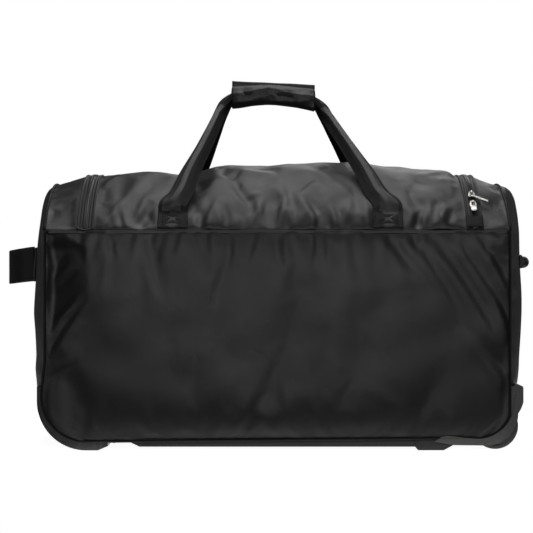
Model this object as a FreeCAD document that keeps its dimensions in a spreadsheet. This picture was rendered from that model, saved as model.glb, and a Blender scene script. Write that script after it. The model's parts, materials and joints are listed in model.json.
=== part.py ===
"""Rolling duffel bag: soft barrel-topped body, U zip lid, carry handles, wheels and a telescopic trolley.

Row frame: millimetres, +X along the bag towards the wheels, -Y towards the plain front panel, +Z up.
The origin is on the ground, under the middle of the bag. Each sub-part is one labelled object.
"""
import FreeCAD, Part

import math
import os

import Sketcher
from FreeCAD import Placement, Rotation, Vector

DOC = FreeCAD.newDocument("rolling_duffel")
SHEET = DOC.addObject("Spreadsheet::Sheet", "dims")


# ---------------------------------------------------------------- driving dimensions

DIMENSIONS = {
    # soft body
    "seam_left": (-306, "side seam of the front panel, left"),
    "seam_right": (336, "side seam of the front panel, right"),
    "bulge_left": (29, "how far the left end panel stands out at mid depth"),
    "bulge_right": (24, "how far the right end panel stands out at mid depth"),
    "half_depth": (175, "outer face of the front and back panels"),
    "cloth": (3, "padded wall thickness"),
    "floor_z": (16, "underside of the soft body"),
    "seam_z": (303, "horizontal seam where the barrel top begins"),
    "end_height": (372, "crest of the barrel at the end seams"),
    "arm_height": (385, "crest of the barrel under the zip arms"),
    "crest_z": (400, "crest of the barrel over the middle"),
    "crest_left": (-83, "where the full crest height begins"),
    "crest_right": (125, "where the full crest height ends"),
    "corner_left": (63, "radius of the soft lower left corner"),
    "corner_right": (51, "radius of the soft lower right corner"),
    "corner_left_x": (-248, "centre of the lower left corner"),
    "corner_right_x": (289.5, "centre of the lower right corner"),
    "shoulder_z": (125, "where the end panels reach their full bulge"),
    "sag": (5, "how far the front and back panels hang over the guards below the floor"),
    "piping_r": (2.2, "radius of the sewn edge piping"),
    # zip
    "zip_left": (-250, "centre of the left zip arm"),
    "zip_right": (287.5, "centre of the right zip arm"),
    "tape_half": (11.25, "half width of the zip tape"),
    "tape_thick": (1.5, "thickness of the zip tape"),
    "tooth_width": (3, "width of one side of the coil"),
    "gap": (0.3, "half of the gap between lid and body"),
    "slider_long": (14, "length of a slider"),
    "slider_wide": (10, "width of a slider"),
    "slider_high": (5, "height of a slider"),
    "upper_angle": (57.9, "upper slider, degrees above the horizontal through the barrel centre"),
    "lower_angle": (51.8, "lower slider, the same way"),
    # carry handles
    "strap_width": (41, "handle webbing width"),
    "strap_thick": (3.4, "handle webbing, measured along Y on the slope"),
    "strap_left": (-150, "outer edge of the left strap at its base"),
    "strap_right": (188, "outer edge of the right strap at its base"),
    "patch_top": (329, "top of the stitched strap patches"),
    "patch_thick": (1.8, "thickness of the stitched strap patches"),
    "root_y": (159.6, "strap root, distance from the middle plane"),
    "root_z": (331, "strap root height"),
    "grip_bottom": (490, "underside of the folded straps inside the wrap"),
    "grip_left": (-64, "left end of the folded straps"),
    "grip_right": (86, "right end of the folded straps"),
    "wrap_left": (-52, "left end of the padded grip wrap"),
    "wrap_right": (72, "right end of the padded grip wrap"),
    "wrap_low": (485, "underside of the grip wrap"),
    "wrap_high": (517, "top of the grip wrap"),
    "fin_high": (525, "top of the closing flap on the wrap"),
    "wrap_deep": (18, "outer face of the wrap from the middle plane"),
    # end loop and end grip
    "loop_reach": (378, "how far the end loop and the end grip reach from the middle"),
    "loop_low": (231, "lower edge of the end loop"),
    "loop_high": (281, "upper edge of the end loop"),
    "loop_r": (22, "outer bend of the end loop"),
    "webbing": (2.5, "thickness of the end loop webbing"),
    "roll_r": (8.5, "radius of the rolled end grip"),
    "roll_z": (260, "height of the rolled end grip"),
    "roll_half": (55, "half length of the rolled end grip"),
    # base
    "channel_left": (-175, "left end of the moulded base"),
    "channel_right": (206, "right end of the moulded base"),
    "channel_z": (4.5, "underside of the moulded base"),
    "channel_half": (168, "half depth of the moulded base"),
    "skin": (2.5, "moulded wall thickness"),
    "board_z": (40, "underside of the stiffening board"),
    "foot_inner": (120, "inner face of the feet and guards"),
    "guard_r": (68, "outer radius of the corner guards"),
    "guard_edge": (3.5, "how far the outermost step of the guards is set in"),
    "guard_z": (88, "top of the corner guards"),
    # wheels
    "wheel_x": (317, "wheel axis"),
    "wheel_z": (32, "wheel axis height, equal to the tyre radius"),
    "wheel_y": (145, "wheel centre from the middle plane"),
    "wheel_half": (12, "half width of the tyre"),
    "rim_r": (26, "outside of the hub rim"),
    "bearing_r": (11, "outside of the ball bearings"),
    "axle_r": (4, "axle radius"),
    "running": (0.05, "radial running clearance"),
    "well_r": (36, "radius of the wheel well"),
    "well_half": (17, "half width of the wheel well"),
    "housing_left": (262, "inner end of the wheel housings"),
    "housing_inner": (113, "inner face of the wheel housings"),
    "lip_y": (178, "outer face of the housing cheeks and guards"),
    # trolley
    "tube_y": (70, "trolley tubes from the middle plane"),
    "tube_z": (31, "trolley tube height"),
    "tube_r": (8, "outer tube radius"),
    "stem_r": (6, "inner tube radius"),
    "tube_wall": (1, "tube wall"),
    "tube_left": (-268, "left end of the outer tubes"),
    "tube_right": (215, "right end of the outer tubes"),
    "cup_left": (-310, "outer face of the trolley cup"),
    "cup_right": (-262, "inner face of the trolley cup"),
    "cup_half": (98, "half width of the trolley cup"),
    "cup_low": (9, "underside of the trolley cup"),
    "cup_high": (66, "top of the trolley cup"),
    "bar_left": (-308, "outer face of the trolley grip"),
    "bar_right": (-290, "inner face of the trolley grip"),
    "bar_half": (86, "half width of the trolley grip"),
    "pin_r": (1.5, "lock pin and push rod radius"),
}

WIDE = 400


class Size:
    """A length with its value and the spreadsheet expression that it comes from."""

    def __init__(self, text, value):
        self.text = text
        self.value = value

    def __add__(self, other):
        other = size(other)
        return Size(f"({self.text} + {other.text})", self.value + other.value)

    def __sub__(self, other):
        other = size(other)
        return Size(f"({self.text} - {other.text})", self.value - other.value)

    def __mul__(self, other):
        other = size(other)
        return Size(f"({self.text} * {other.text})", self.value * other.value)

    def __truediv__(self, other):
        other = size(other)
        return Size(f"({self.text} / {other.text})", self.value / other.value)

    def __rsub__(self, other):
        return size(other) - self

    def __neg__(self):
        return Size(f"(0 - {self.text})", -self.value)

    __radd__ = __add__
    __rmul__ = __mul__


def size(value):
    """A plain number or a Size as a Size."""
    return value if isinstance(value, Size) else Size(str(value), float(value))


def root(value):
    return Size(f"sqrt({value.text})", math.sqrt(value.value))


def sine(degrees):
    return Size(f"sin({degrees.text} * 1deg)", math.sin(math.radians(degrees.value)))


def cosine(degrees):
    return Size(f"cos({degrees.text} * 1deg)", math.cos(math.radians(degrees.value)))


class Dimensions:
    """Each spreadsheet alias as an attribute."""


D = Dimensions()
for row, (alias, (number, meaning)) in enumerate(DIMENSIONS.items(), start=1):
    SHEET.set(f"A{row}", meaning)
    SHEET.set(f"B{row}", str(number))
    SHEET.setAlias(f"B{row}", alias)
    setattr(D, alias, Size(f"dims.{alias}", float(number)))
DOC.recompute()


# ---------------------------------------------------------------- shape helpers

NODES = []
ROLES = {"xy": "XY_Plane", "xz": "XZ_Plane", "yz": "YZ_Plane"}
LIFT = {"xy": 1, "xz": -1, "yz": 1}
TURN = {
    "x": Rotation(Vector(0, 1, 0), 90),
    "y": Rotation(Vector(1, 0, 0), -90),
    "z": Rotation(),
}


def bind(target, prop, value):
    target.setExpression(prop, size(value).text)


def node(label, shape):
    """Name a finished sub-part: its label is its file name."""
    shape.Label = label
    NODES.append(shape)
    return shape


def block(x, y, z):
    """A box between (low, high) pairs."""
    solid = DOC.addObject("Part::Box", "block")
    for prop, axis, (low, high) in zip(("Length", "Width", "Height"), "xyz", (x, y, z)):
        bind(solid, prop, size(high) - low)
        bind(solid, f"Placement.Base.{axis}", low)
    return solid


def rod(axis, radius, centre, span):
    """A cylinder along an axis: the two other coordinates of its line, and its ends."""
    solid = DOC.addObject("Part::Cylinder", "rod")
    solid.Placement = Placement(Vector(), TURN[axis])
    others = [name for name in "xyz" if name != axis]
    for name, place in zip(others, centre):
        bind(solid, f"Placement.Base.{name}", place)
    bind(solid, f"Placement.Base.{axis}", span[0])
    bind(solid, "Radius", radius)
    bind(solid, "Height", size(span[1]) - span[0])
    return solid


def fuse(*shapes):
    joined = DOC.addObject("Part::MultiFuse", "fuse")
    joined.Shapes = list(shapes)
    return joined


def group(*shapes):
    """Separate identical solids kept together in one sub-part."""
    together = DOC.addObject("Part::Compound", "group")
    together.Links = list(shapes)
    return together


def common(*shapes):
    shared = DOC.addObject("Part::MultiCommon", "common")
    shared.Shapes = list(shapes)
    return shared


def cut(base, *tools):
    rest = DOC.addObject("Part::Cut", "cut")
    rest.Base = base
    rest.Tool = tools[0] if len(tools) == 1 else fuse(*tools)
    return rest


def mirrored(shape):
    """The same piece on the other side of the middle plane."""
    twin = DOC.addObject("Part::Mirroring", "mirror")
    twin.Source = shape
    twin.Normal = (0, 1, 0)
    return twin


def ring(axis, outer, inner, centre, span):
    return cut(rod(axis, outer, centre, span), rod(axis, inner, centre, span))


def arc_between(start, end, radius):
    """The short arc between two points: a positive radius turns left, a negative one right."""
    chord = end - start
    left = Vector(-chord.y, chord.x, 0) / chord.Length
    reach = math.sqrt(max(radius ** 2 - (chord.Length / 2) ** 2, 0))
    centre = (start + end) / 2 + left * math.copysign(reach, radius)
    first, last = (start, end) if radius > 0 else (end, start)
    angles = [math.atan2(point.y - centre.y, point.x - centre.x) for point in (first, last)]
    if angles[1] < angles[0]:
        angles[1] += 2 * math.pi
    return Part.ArcOfCircle(Part.Circle(centre, Vector(0, 0, 1), abs(radius)), *angles)


def draw(body, plane, outline, offset=0, shift=None):
    """A closed sketch on an origin plane. A corner is (u, v), or (u, v, radius) where an arc follows."""
    sketch = body.newObject("Sketcher::SketchObject", "outline")
    base = [item for item in body.Origin.OriginFeatures if item.Role == ROLES[plane]][0]
    sketch.AttachmentSupport = [(base, "")]
    sketch.MapMode = "FlatFace"
    bind(sketch, "AttachmentOffset.Base.z", size(offset) * LIFT[plane])
    if shift is not None:
        bind(sketch, "AttachmentOffset.Base.x", shift)
    points = [Vector(size(corner[0]).value, size(corner[1]).value, 0) for corner in outline]
    ends = []
    for index, corner in enumerate(outline):
        start = points[index]
        end = points[(index + 1) % len(points)]
        if len(corner) == 2:
            edge = sketch.addGeometry(Part.LineSegment(start, end), False)
            ends.append((edge, 1, 2))
        else:
            radius = size(corner[2])
            edge = sketch.addGeometry(arc_between(start, end, radius.value), False)
            ends.append((edge, 1, 2) if radius.value > 0 else (edge, 2, 1))
            rule = sketch.addConstraint(Sketcher.Constraint("Radius", edge, abs(radius.value)))
            bind(sketch, f"Constraints[{rule}]", radius if radius.value > 0 else -radius)
    for index, (edge, first, _) in enumerate(ends):
        before, _, last = ends[index - 1]
        sketch.addConstraint(Sketcher.Constraint("Coincident", before, last, edge, first))
        for kind, place in (("DistanceX", outline[index][0]), ("DistanceY", outline[index][1])):
            place = size(place)
            rule = sketch.addConstraint(Sketcher.Constraint(kind, -1, 1, edge, first, place.value))
            bind(sketch, f"Constraints[{rule}]", place)
    return sketch


def prism(plane, outline, low, high):
    """An outline swept straight between two levels along the plane's normal axis."""
    body = DOC.addObject("PartDesign::Body", "prism")
    pad = body.newObject("PartDesign::Pad", "pad")
    pad.Profile = draw(body, plane, outline, low)
    pad.Reversed = plane == "xz"
    bind(pad, "Length", size(high) - low)
    body.Tip = pad
    return body


def loft(plane, stations):
    """Straight-sided loft through (level, outline) stations."""
    body = DOC.addObject("PartDesign::Body", "loft")
    sketches = [draw(body, plane, outline, level) for level, outline in stations]
    skin = body.newObject("PartDesign::AdditiveLoft", "skin")
    skin.Profile = sketches[0]
    skin.Sections = [(sketch, [""]) for sketch in sketches[1:]]
    skin.Ruled = True
    body.Tip = skin
    return body


def turned(centre_x, centre_z, profile):
    """A section of (radius, y) corners turned about the line along Y through (centre_x, centre_z)."""
    body = DOC.addObject("PartDesign::Body", "turned")
    section = draw(body, "xy", profile, centre_z, centre_x)
    lathe = body.newObject("PartDesign::Revolution", "lathe")
    lathe.Profile = section
    lathe.ReferenceAxis = (section, ["V_Axis"])
    lathe.Angle = 360
    body.Tip = lathe
    return body


def rounded(low_u, high_u, low_v, high_v, radius):
    """Outline of a rectangle with round corners."""
    return [
        (low_u + radius, low_v), (high_u - radius, low_v, radius),
        (high_u, low_v + radius), (high_u, high_v - radius, radius),
        (high_u - radius, high_v), (low_u + radius, high_v, radius),
        (low_u, high_v - radius), (low_u, low_v + radius, radius),
    ]


# ---------------------------------------------------------------- barrel geometry

def barrel(crest):
    """Radius and centre height of the barrel section that spans the seams and rises to a crest."""
    rise = crest - D.seam_z
    radius = (D.half_depth * D.half_depth + rise * rise) / (rise * 2)
    return radius, crest - radius


def barrel_ring(crest, inner, outer, foot):
    """Section of a shell on the barrel, between two offsets from its surface, ending at a foot height."""
    radius, centre = barrel(crest)
    far = radius + outer
    near = radius + inner
    drop = foot - centre
    far_y = root(far * far - drop * drop)
    near_y = root(near * near - drop * drop)
    return [(far_y, foot, far), (-far_y, foot), (-near_y, foot, -near), (near_y, foot)]


def band(crest, inner, outer, foot, left, right):
    """A strip that lies over the barrel between two X places."""
    return prism("yz", barrel_ring(crest, inner, outer, foot), left, right)


LID_LEFT = D.zip_left + D.gap
LID_RIGHT = D.zip_right - D.gap
LID_FOOT = D.seam_z + D.gap * 2


def lid_layer(inner, outer):
    """A layer of the lid, which is highest over the middle and lower at the zip arms."""
    stations = [
        (LID_LEFT, D.arm_height),
        (D.zip_left + D.tape_half, D.arm_height),
        (D.crest_left, D.crest_z),
        (D.crest_right, D.crest_z),
        (D.zip_right - D.tape_half, D.arm_height),
        (LID_RIGHT, D.arm_height),
    ]
    return loft("yz", [(x, barrel_ring(crest, inner, outer, LID_FOOT)) for x, crest in stations])


# ---------------------------------------------------------------- soft body

def body_outline(inset):
    """Lower edge of the body in front view, set in by a wall thickness at the corners and the bottom."""
    right_centre = D.floor_z + D.corner_right
    left_r = D.corner_left - inset
    right_r = D.corner_right - inset
    right_reach = D.seam_right - D.corner_right_x
    right_z = right_centre - root(right_r * right_r - right_reach * right_reach)
    return [
        (D.corner_left_x - left_r, D.floor_z + D.corner_left, left_r),
        (D.corner_left_x, D.floor_z + inset),
        (D.corner_right_x, D.floor_z + inset, right_r),
        (D.seam_right, right_z),
    ]


def above(lower_edge):
    """Front view of the body over its lower edge, a little wider at the lower left than at the seam."""
    return lower_edge + [(D.seam_right, D.seam_z), (D.seam_left, D.seam_z), (D.seam_left, D.shoulder_z)]


def face_outline():
    """Front view of the front panel, which hangs a little below the floor at its lower left."""
    low = D.floor_z - D.sag
    return above([
        (D.corner_left_x - D.corner_left, low + D.corner_left, D.corner_left), (D.corner_left_x, low),
        (D.channel_left, D.floor_z),
    ] + body_outline(size(0))[2:])


def face_panel():
    """Front or back panel."""
    return prism("xz", face_outline(), -D.half_depth, D.cloth - D.half_depth)


def filled_body():
    """Everything inside the front view of the body, as tools for fitting the hard parts around it."""
    return [
        prism("xz", above(body_outline(size(0))), -D.lip_y, D.lip_y),
        prism("xz", face_outline(), -D.lip_y, D.cloth - D.half_depth),
    ]


def end_cap(side, inset):
    """Solid of one bulging end, between its side seam and its skin, set in by a wall thickness."""
    seam, bulge = (D.seam_left, D.bulge_left) if side < 0 else (D.seam_right, D.bulge_right)
    inside = D.half_depth - D.cloth
    bulge_r = (inside * inside + bulge * bulge) / (bulge * 2)
    tip = seam + bulge * side
    wall = tip - side * bulge_r
    crest_r, crest_z = barrel(D.end_height)
    corner = body_outline(size(0))[0 if side < 0 else 3]
    push = -side * inset
    profile = [
        (seam + push * 3, corner[1]),
        (corner[0] + side * 3 + push, corner[1] + 24),
        (tip + push, D.shoulder_z),
        (tip + push, D.seam_z),
        (tip - side * 13 + push, D.end_height - 10),
        (seam + push * 3, D.end_height),
    ]
    if side < 0:
        profile.reverse()
    inner_side = prism("xz", profile, -inside, inside)
    bulge_rod = rod("z", bulge_r - inset, (wall, 0), (0, WIDE))
    crest_rod = rod("x", crest_r - inset, (0, crest_z), (-WIDE, WIDE))
    return common(inner_side, bulge_rod, crest_rod)


def wheel_room():
    """Space that the two wheel housings take out of the soft body."""
    near = (-D.half_depth + D.cloth, -D.housing_inner)
    far = (D.housing_inner, D.half_depth - D.cloth)
    x = (D.housing_left, WIDE)
    z = (0, D.guard_z)
    return block(x, near, z), block(x, far, z)


def cup_room():
    return block((-WIDE, D.cup_right), (-D.cup_half, D.cup_half), (D.cup_low, D.cup_high))


def soft_body():
    node("front_panel", face_panel())
    node("back_panel", mirrored(face_panel()))
    inside = D.half_depth - D.cloth
    lining = body_outline(D.cloth)
    wrap = body_outline(size(0))
    skin = wrap + [
        (lining[3][0], lining[3][1], -(D.corner_right - D.cloth)),
        (lining[2][0], lining[2][1]),
        (lining[1][0], lining[1][1], -(D.corner_left - D.cloth)),
        (lining[0][0], lining[0][1]),
    ]
    bottom = prism("xz", skin, -inside, inside)
    node("bottom_panel", cut(bottom, *wheel_room(), cup_room(), base_screws(D.cloth + 4)))
    left = cut(end_cap(-1, size(0)), end_cap(-1, D.cloth), cup_room())
    right = cut(end_cap(1, size(0)), end_cap(1, D.cloth), *wheel_room())
    node("left_end_panel", left)
    node("right_end_panel", right)


def top_sections():
    """Fixed strips of the barrel between the end seams and the zip arms."""
    left = [
        (D.seam_left, D.end_height),
        (D.zip_left - D.tape_half, D.arm_height),
        (D.zip_left - D.gap, D.arm_height),
    ]
    right = [
        (D.zip_right + D.gap, D.arm_height),
        (D.zip_right + D.tape_half, D.arm_height),
        (D.seam_right, D.end_height),
    ]
    for label, stations in (("top_left_section", left), ("top_right_section", right)):
        rings = [(x, barrel_ring(crest, -D.cloth, size(0), D.seam_z)) for x, crest in stations]
        node(label, loft("yz", rings))


def side_piping():
    """Four upright cords sewn into the seams between the face panels and the end panels."""
    cords = []
    for seam in (D.seam_left - D.piping_r - 0.2, D.seam_right + D.piping_r + 0.2):
        for place in (D.half_depth - 0.4, 0.4 - D.half_depth):
            cords.append(rod("z", D.piping_r, (seam, place), (D.shoulder_z + 4, D.seam_z)))
    node("side_piping", group(*cords))


# ---------------------------------------------------------------- zip

def zip_body():
    """Tape and coil on the fixed side: two arms over the barrel and the long run along the back."""
    left = (D.zip_left - D.tape_half, D.zip_left - D.gap)
    right = (D.zip_right + D.gap, D.zip_right + D.tape_half)
    back = D.half_depth + D.tape_thick
    tape = fuse(
        band(D.arm_height, size(0), D.tape_thick, D.seam_z, *left),
        band(D.arm_height, size(0), D.tape_thick, D.seam_z, *right),
        block((left[0], right[1]), (D.half_depth, back), (D.seam_z - D.tape_half, D.seam_z)),
    )
    node("zipper_tape_body", tape)
    twice = D.tape_thick * 2
    coil = fuse(
        band(D.arm_height, D.tape_thick, twice, D.seam_z, left[1] - D.tooth_width, left[1]),
        band(D.arm_height, D.tape_thick, twice, D.seam_z, right[0], right[0] + D.tooth_width),
        block(
            (left[1] - D.tooth_width, right[0] + D.tooth_width),
            (back, D.half_depth + twice),
            (D.seam_z - D.tooth_width, D.seam_z),
        ),
    )
    node("zipper_teeth_body", coil)


def zip_lid():
    """Tape and coil on the lid's edge, matching the fixed side."""
    twice = D.tape_thick * 2
    for label, inner, outer, width in (
        ("zipper_tape_lid", size(0), D.tape_thick, D.tape_half - D.gap),
        ("zipper_teeth_lid", D.tape_thick, twice, D.tooth_width),
    ):
        run = common(
            lid_layer(inner, outer),
            block((LID_LEFT, LID_RIGHT), (0, WIDE), (LID_FOOT, LID_FOOT + width)),
        )
        strip = fuse(
            band(D.arm_height, inner, outer, LID_FOOT, LID_LEFT, LID_LEFT + width),
            band(D.arm_height, inner, outer, LID_FOOT, LID_RIGHT - width, LID_RIGHT),
            run,
        )
        node(label, strip)


def on_barrel(solid, degrees):
    """Carry a piece modelled at the crest, with +Y uphill towards the back, round to its angle."""
    radius, centre = barrel(D.arm_height)
    solid.Placement = Placement(Vector(), Rotation(Vector(1, 0, 0), 90 - degrees.value))
    bind(solid, "Placement.Base.x", D.zip_right)
    reach = radius + D.tape_thick * 2 + D.gap
    bind(solid, "Placement.Base.y", -reach * cosine(degrees))
    bind(solid, "Placement.Base.z", centre + reach * sine(degrees))
    bind(solid, "Placement.Rotation.Angle", Size(f"(90 - {degrees.text}) * 1deg", 90 - degrees.value))
    return solid


def slider():
    """Slider body with its bridge, standing on the coil."""
    half = D.slider_wide / 2
    long_half = D.slider_long / 2
    nose = half * 0.6
    plate = prism("xy", [
        (-half, -long_half), (half, -long_half), (half, 0),
        (nose, long_half), (-nose, long_half), (-half, 0),
    ], size(0), D.slider_high * 0.5)
    arch = cut(
        block((-1.6, 1.6), (-4.5, 4.5), (D.slider_high * 0.5, D.slider_high + 2)),
        block((-2, 2), (-2.6, 2.6), (D.slider_high * 0.5, D.slider_high)),
    )
    return fuse(plate, arch)


def pull_tab(length, width, skew):
    """A flat pull from the slider's bridge, with an eye round the bridge, turned by a skew from downhill."""
    low = D.slider_high * 0.5 + 0.55
    high = low + 1.4
    eye = cut(
        block((-4, 4), (-7.6, 2), (low, high)),
        block((-2, 2), (-6, 0.4), (low - 1, high + 1)),
    )
    half = size(width) / 2
    tab = prism("xy", rounded(-half, half, -size(length), size(2), size(1.5)), low, high)
    tab.Placement = Placement(Vector(0, -7.6, 0), Rotation(Vector(0, 0, 1), skew))
    clear = block((-2, 2), (-6, 0.4), (low - 1, high + 1))
    return fuse(eye, cut(tab, clear))


def sliders():
    node("zipper_slider_upper", on_barrel(slider(), D.upper_angle))
    node("zipper_slider_lower", on_barrel(slider(), D.lower_angle))
    node("zipper_pull_upper", on_barrel(pull_tab(28, 5, 52), D.upper_angle))
    node("zipper_pull_lower", on_barrel(pull_tab(12, 9, 0), D.lower_angle))
    lift = D.tape_thick * 2 + D.gap
    wide = D.tape_half + 1
    flap = band(D.arm_height, lift, lift + 1.2, LID_FOOT + 2, D.zip_right - wide, D.zip_right + wide)
    window = block((0, WIDE), (-WIDE, 0), (LID_FOOT, D.seam_z + 20))
    node("zipper_garage", common(flap, window))


# ---------------------------------------------------------------- lid and carry handles

def lid():
    node("lid_panel", lid_layer(-D.cloth, size(0)))
    zip_lid()
    for side, left in (("left", D.strap_left), ("right", D.strap_right - D.strap_width)):
        patch = common(
            lid_layer(size(0), D.patch_thick),
            block((left, left + D.strap_width), (-WIDE, 0), (LID_FOOT, D.patch_top)),
        )
        node(f"strap_patch_front_{side}", patch)
        above_zip = block((-WIDE, WIDE), (-WIDE, 0), (LID_FOOT + D.tape_half - D.gap, D.patch_top))
        node(f"strap_patch_back_{side}", mirrored(common(patch, above_zip)))


def handle_strap():
    """One carry handle: two tapering legs joined by the folded grip length."""
    half = D.strap_thick / 2
    lean = D.wrap_deep / 3

    def leg(base, top, width):
        foot = [(base, -D.root_y - half), (base + D.strap_width, -D.root_y - half),
                (base + D.strap_width, -D.root_y + half), (base, -D.root_y + half)]
        head = [(top, -lean - 2), (top + width, -lean - 2), (top + width, -lean + 2), (top, -lean + 2)]
        return loft("xy", [(D.root_z, foot), (D.grip_bottom, head)])

    folded = D.strap_width / 2
    left = leg(D.strap_left, D.grip_left, folded)
    right = leg(D.strap_right - D.strap_width, D.grip_right - folded, folded)
    bar = block((D.grip_left, D.grip_right), (-lean - 2, -lean + 2), (D.grip_bottom, D.grip_bottom + 20))
    return fuse(left, right, bar)


def grip_half(high):
    """Padded half of the grip wrap, rounded on its outer edges."""
    split = 1.8
    outline = [
        (-D.wrap_deep + 10, D.wrap_low), (size(-split), D.wrap_low),
        (size(-split), high), (-D.wrap_deep + 10, high, 10),
        (-D.wrap_deep, high - 10), (-D.wrap_deep, D.wrap_low + 10, 10),
    ]
    return prism("yz", outline, D.wrap_left, D.wrap_right)


def carry_handles():
    strap = handle_strap()
    node("handle_strap_front", strap)
    node("handle_strap_back", mirrored(strap))
    node("grip_wrap_front", cut(grip_half(D.wrap_high), strap))
    fin = block((D.wrap_left + 2, D.wrap_right - 2), (-5.5, -1.8), (D.wrap_high, D.fin_high))
    node("grip_wrap_back", mirrored(cut(fuse(grip_half(D.wrap_high), fin), strap)))
    face = (D.wrap_left + 4, D.wrap_right - 4)
    rise = (D.wrap_low + 4, D.wrap_high - 4)
    node("hook_strip", block(face, (-1.8, -0.5), rise))
    node("loop_strip", block(face, (0.5, 1.8), rise))


# ---------------------------------------------------------------- end loop and end grip

def end_loop():
    """Wide webbing loop sewn across the left end."""
    bend = D.loop_r - D.loop_reach
    inner = D.loop_r - D.webbing
    foot = D.seam_left - D.bulge_left + 0.8
    outline = [
        (foot, size(42)), (bend, D.loop_r, D.loop_r), (-D.loop_reach, size(0), D.loop_r),
        (bend, -D.loop_r), (foot, size(-42)), (foot, -42 + D.webbing * 1.3),
        (bend, -inner, -inner), (-D.loop_reach + D.webbing, size(0), -inner),
        (bend, inner), (foot, 42 - D.webbing * 1.3),
    ]
    node("pull_strap", prism("xy", outline, D.loop_low, D.loop_high))
    pads = []
    for low, high in ((42, 66), (-66, -42)):
        pad = block((foot - 2.5, foot + 12), (low, high), (D.loop_low, D.loop_high))
        pads.append(cut(pad, end_cap(-1, size(0))))
    node("pull_strap_anchors", group(*pads))


def end_grip():
    """Rolled grip on the right end, on two short webbing tabs, and the patches it is sewn to."""
    middle = D.loop_reach - D.roll_r
    roll = rod("y", D.roll_r, (middle, D.roll_z), (-D.roll_half, D.roll_half))
    tabs = []
    for side in (1, -1):
        outline = [
            (middle - 2, D.roll_half * side), (middle + 2, D.roll_half * side),
            (middle + 1, (D.roll_half + 6) * side), (middle - 9, (D.roll_half + 30) * side),
            (middle - 11.5, (D.roll_half + 30) * side), (middle - 9, (D.roll_half + 14) * side),
        ]
        if side < 0:
            outline.reverse()
        tabs.append(prism("xy", outline, D.roll_z - D.roll_r + 2, D.roll_z + 4))
    node("end_grip", fuse(roll, *tabs))
    pads = []
    for low, high in ((88, 106), (-106, -88)):
        pad = block((middle - 22, middle - 12.5), (low, high), (D.roll_z - 10, D.roll_z + 10))
        pads.append(cut(pad, end_cap(1, size(0))))
    node("end_grip_anchors", group(*pads))


# ---------------------------------------------------------------- hard base

def base_screws(top):
    """Six screws through the ribs of the moulded base into the soft bottom."""
    screws = []
    for x in (-150, 18, 186):
        for y in (-84, 84):
            head = rod("z", 5, (x, y), (D.channel_z, D.channel_z + 2.5))
            shank = rod("z", 2, (x, y), (D.channel_z + 2.5, D.floor_z + top))
            screws.append(fuse(head, shank))
    return group(*screws)


def base():
    left_tip = D.channel_left - 14
    tray = prism("xz", [
        (left_tip, D.floor_z), (left_tip, D.floor_z - 5), (D.channel_left, D.channel_z),
        (D.channel_right, D.channel_z), (D.channel_right, D.floor_z),
    ], -D.channel_half, D.channel_half)
    pockets = []
    bay = 80
    for middle in (-126, -42, 42, 126):
        width = bay / 2 - (4 if abs(middle) < bay else 2)
        pockets.append(block(
            (D.channel_left + D.skin, D.channel_right - D.skin),
            (middle - width, middle + width),
            (D.channel_z + D.skin, D.floor_z + 1),
        ))
    node("base_channel", cut(tray, *pockets, base_screws(1)))
    node("base_screws", base_screws(4))
    node("base_board", block(
        (D.corner_left_x - 7, D.housing_left - 4),
        (10 - D.half_depth, D.half_depth - 10),
        (D.board_z, D.board_z + D.cloth),
    ))
    foot = prism("xz", [
        (D.channel_right, D.floor_z), (D.channel_right, size(3)), (D.channel_right + 3, size(0)),
        (D.channel_right + 38, size(0)), (D.channel_right + 52, size(7.5)),
        (D.channel_right + 52, D.floor_z),
    ], D.cloth - D.half_depth, -D.foot_inner)
    node("skid_foot_front", foot)
    node("skid_foot_back", mirrored(foot))


def corner_guards():
    """Moulded guards round the lower left corners, standing on the ground, with stepped outer edges."""

    def outline(inset):
        outer_r = D.guard_r - inset
        outer_x = D.corner_left_x - outer_r
        return [
            (outer_x, D.guard_r, outer_r), (D.corner_left_x, inset),
            (D.corner_left_x + 16, inset), (D.corner_left_x + 30, 6 + inset * 0.5),
            (D.corner_left_x + 30, D.floor_z + 1), (D.corner_left_x, D.guard_z), (outer_x, D.guard_z),
        ]

    blank = fuse(
        prism("xz", outline(D.guard_edge), -D.lip_y, -D.foot_inner),
        prism("xz", outline(D.guard_edge * 0.4), -D.lip_y + 1.2, -D.foot_inner),
        prism("xz", outline(size(0)), -D.lip_y + 3.6, -D.foot_inner),
    )
    side = cut(blank, *filled_body(), end_cap(-1, size(0)))
    node("corner_guard_front", side)
    node("corner_guard_back", mirrored(side))


def wheel_housing():
    """Moulded wheel well with a cheek that frames the corner of the front panel."""
    arc_x = 302
    arc_r = 44
    lip = prism("xz", [
        (size(230), size(12)), (size(258), size(7.5)), (size(arc_x), size(7), arc_r),
        (size(arc_x + arc_r), size(51)), (size(350), size(58)), (size(353), size(66)),
        (size(353), D.guard_z - 2), (size(343.5), size(77)), (size(340.5), D.floor_z + D.corner_right,
         -D.corner_right), (D.corner_right_x, D.floor_z), (size(265), size(18.6)),
        (size(249), size(20.4)), (size(241), size(19)),
    ], -D.lip_y, -D.half_depth)
    shell = prism("xz", [
        (D.housing_left, D.guard_z), (D.housing_left, size(7.5)), (size(arc_x), size(7), arc_r),
        (size(arc_x + arc_r), size(51)), (size(350), size(58)), (size(353), size(66)),
        (size(353), D.guard_z),
    ], -D.half_depth, -D.housing_inner)
    panel = face_panel()
    well_y = (-D.wheel_y - D.well_half, D.well_half - D.wheel_y)
    well = rod("y", D.well_r, (D.wheel_x, D.wheel_z), well_y)
    below = block((D.wheel_x - D.well_r, WIDE), well_y, (-10, D.wheel_z))
    beside = block((D.wheel_x, WIDE), well_y, (-10, D.wheel_z + 22))
    seat = rod("y", D.axle_r, (D.wheel_x, D.wheel_z), axle_span())
    return cut(fuse(lip, cut(shell, panel)), well, below, beside, seat)


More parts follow.
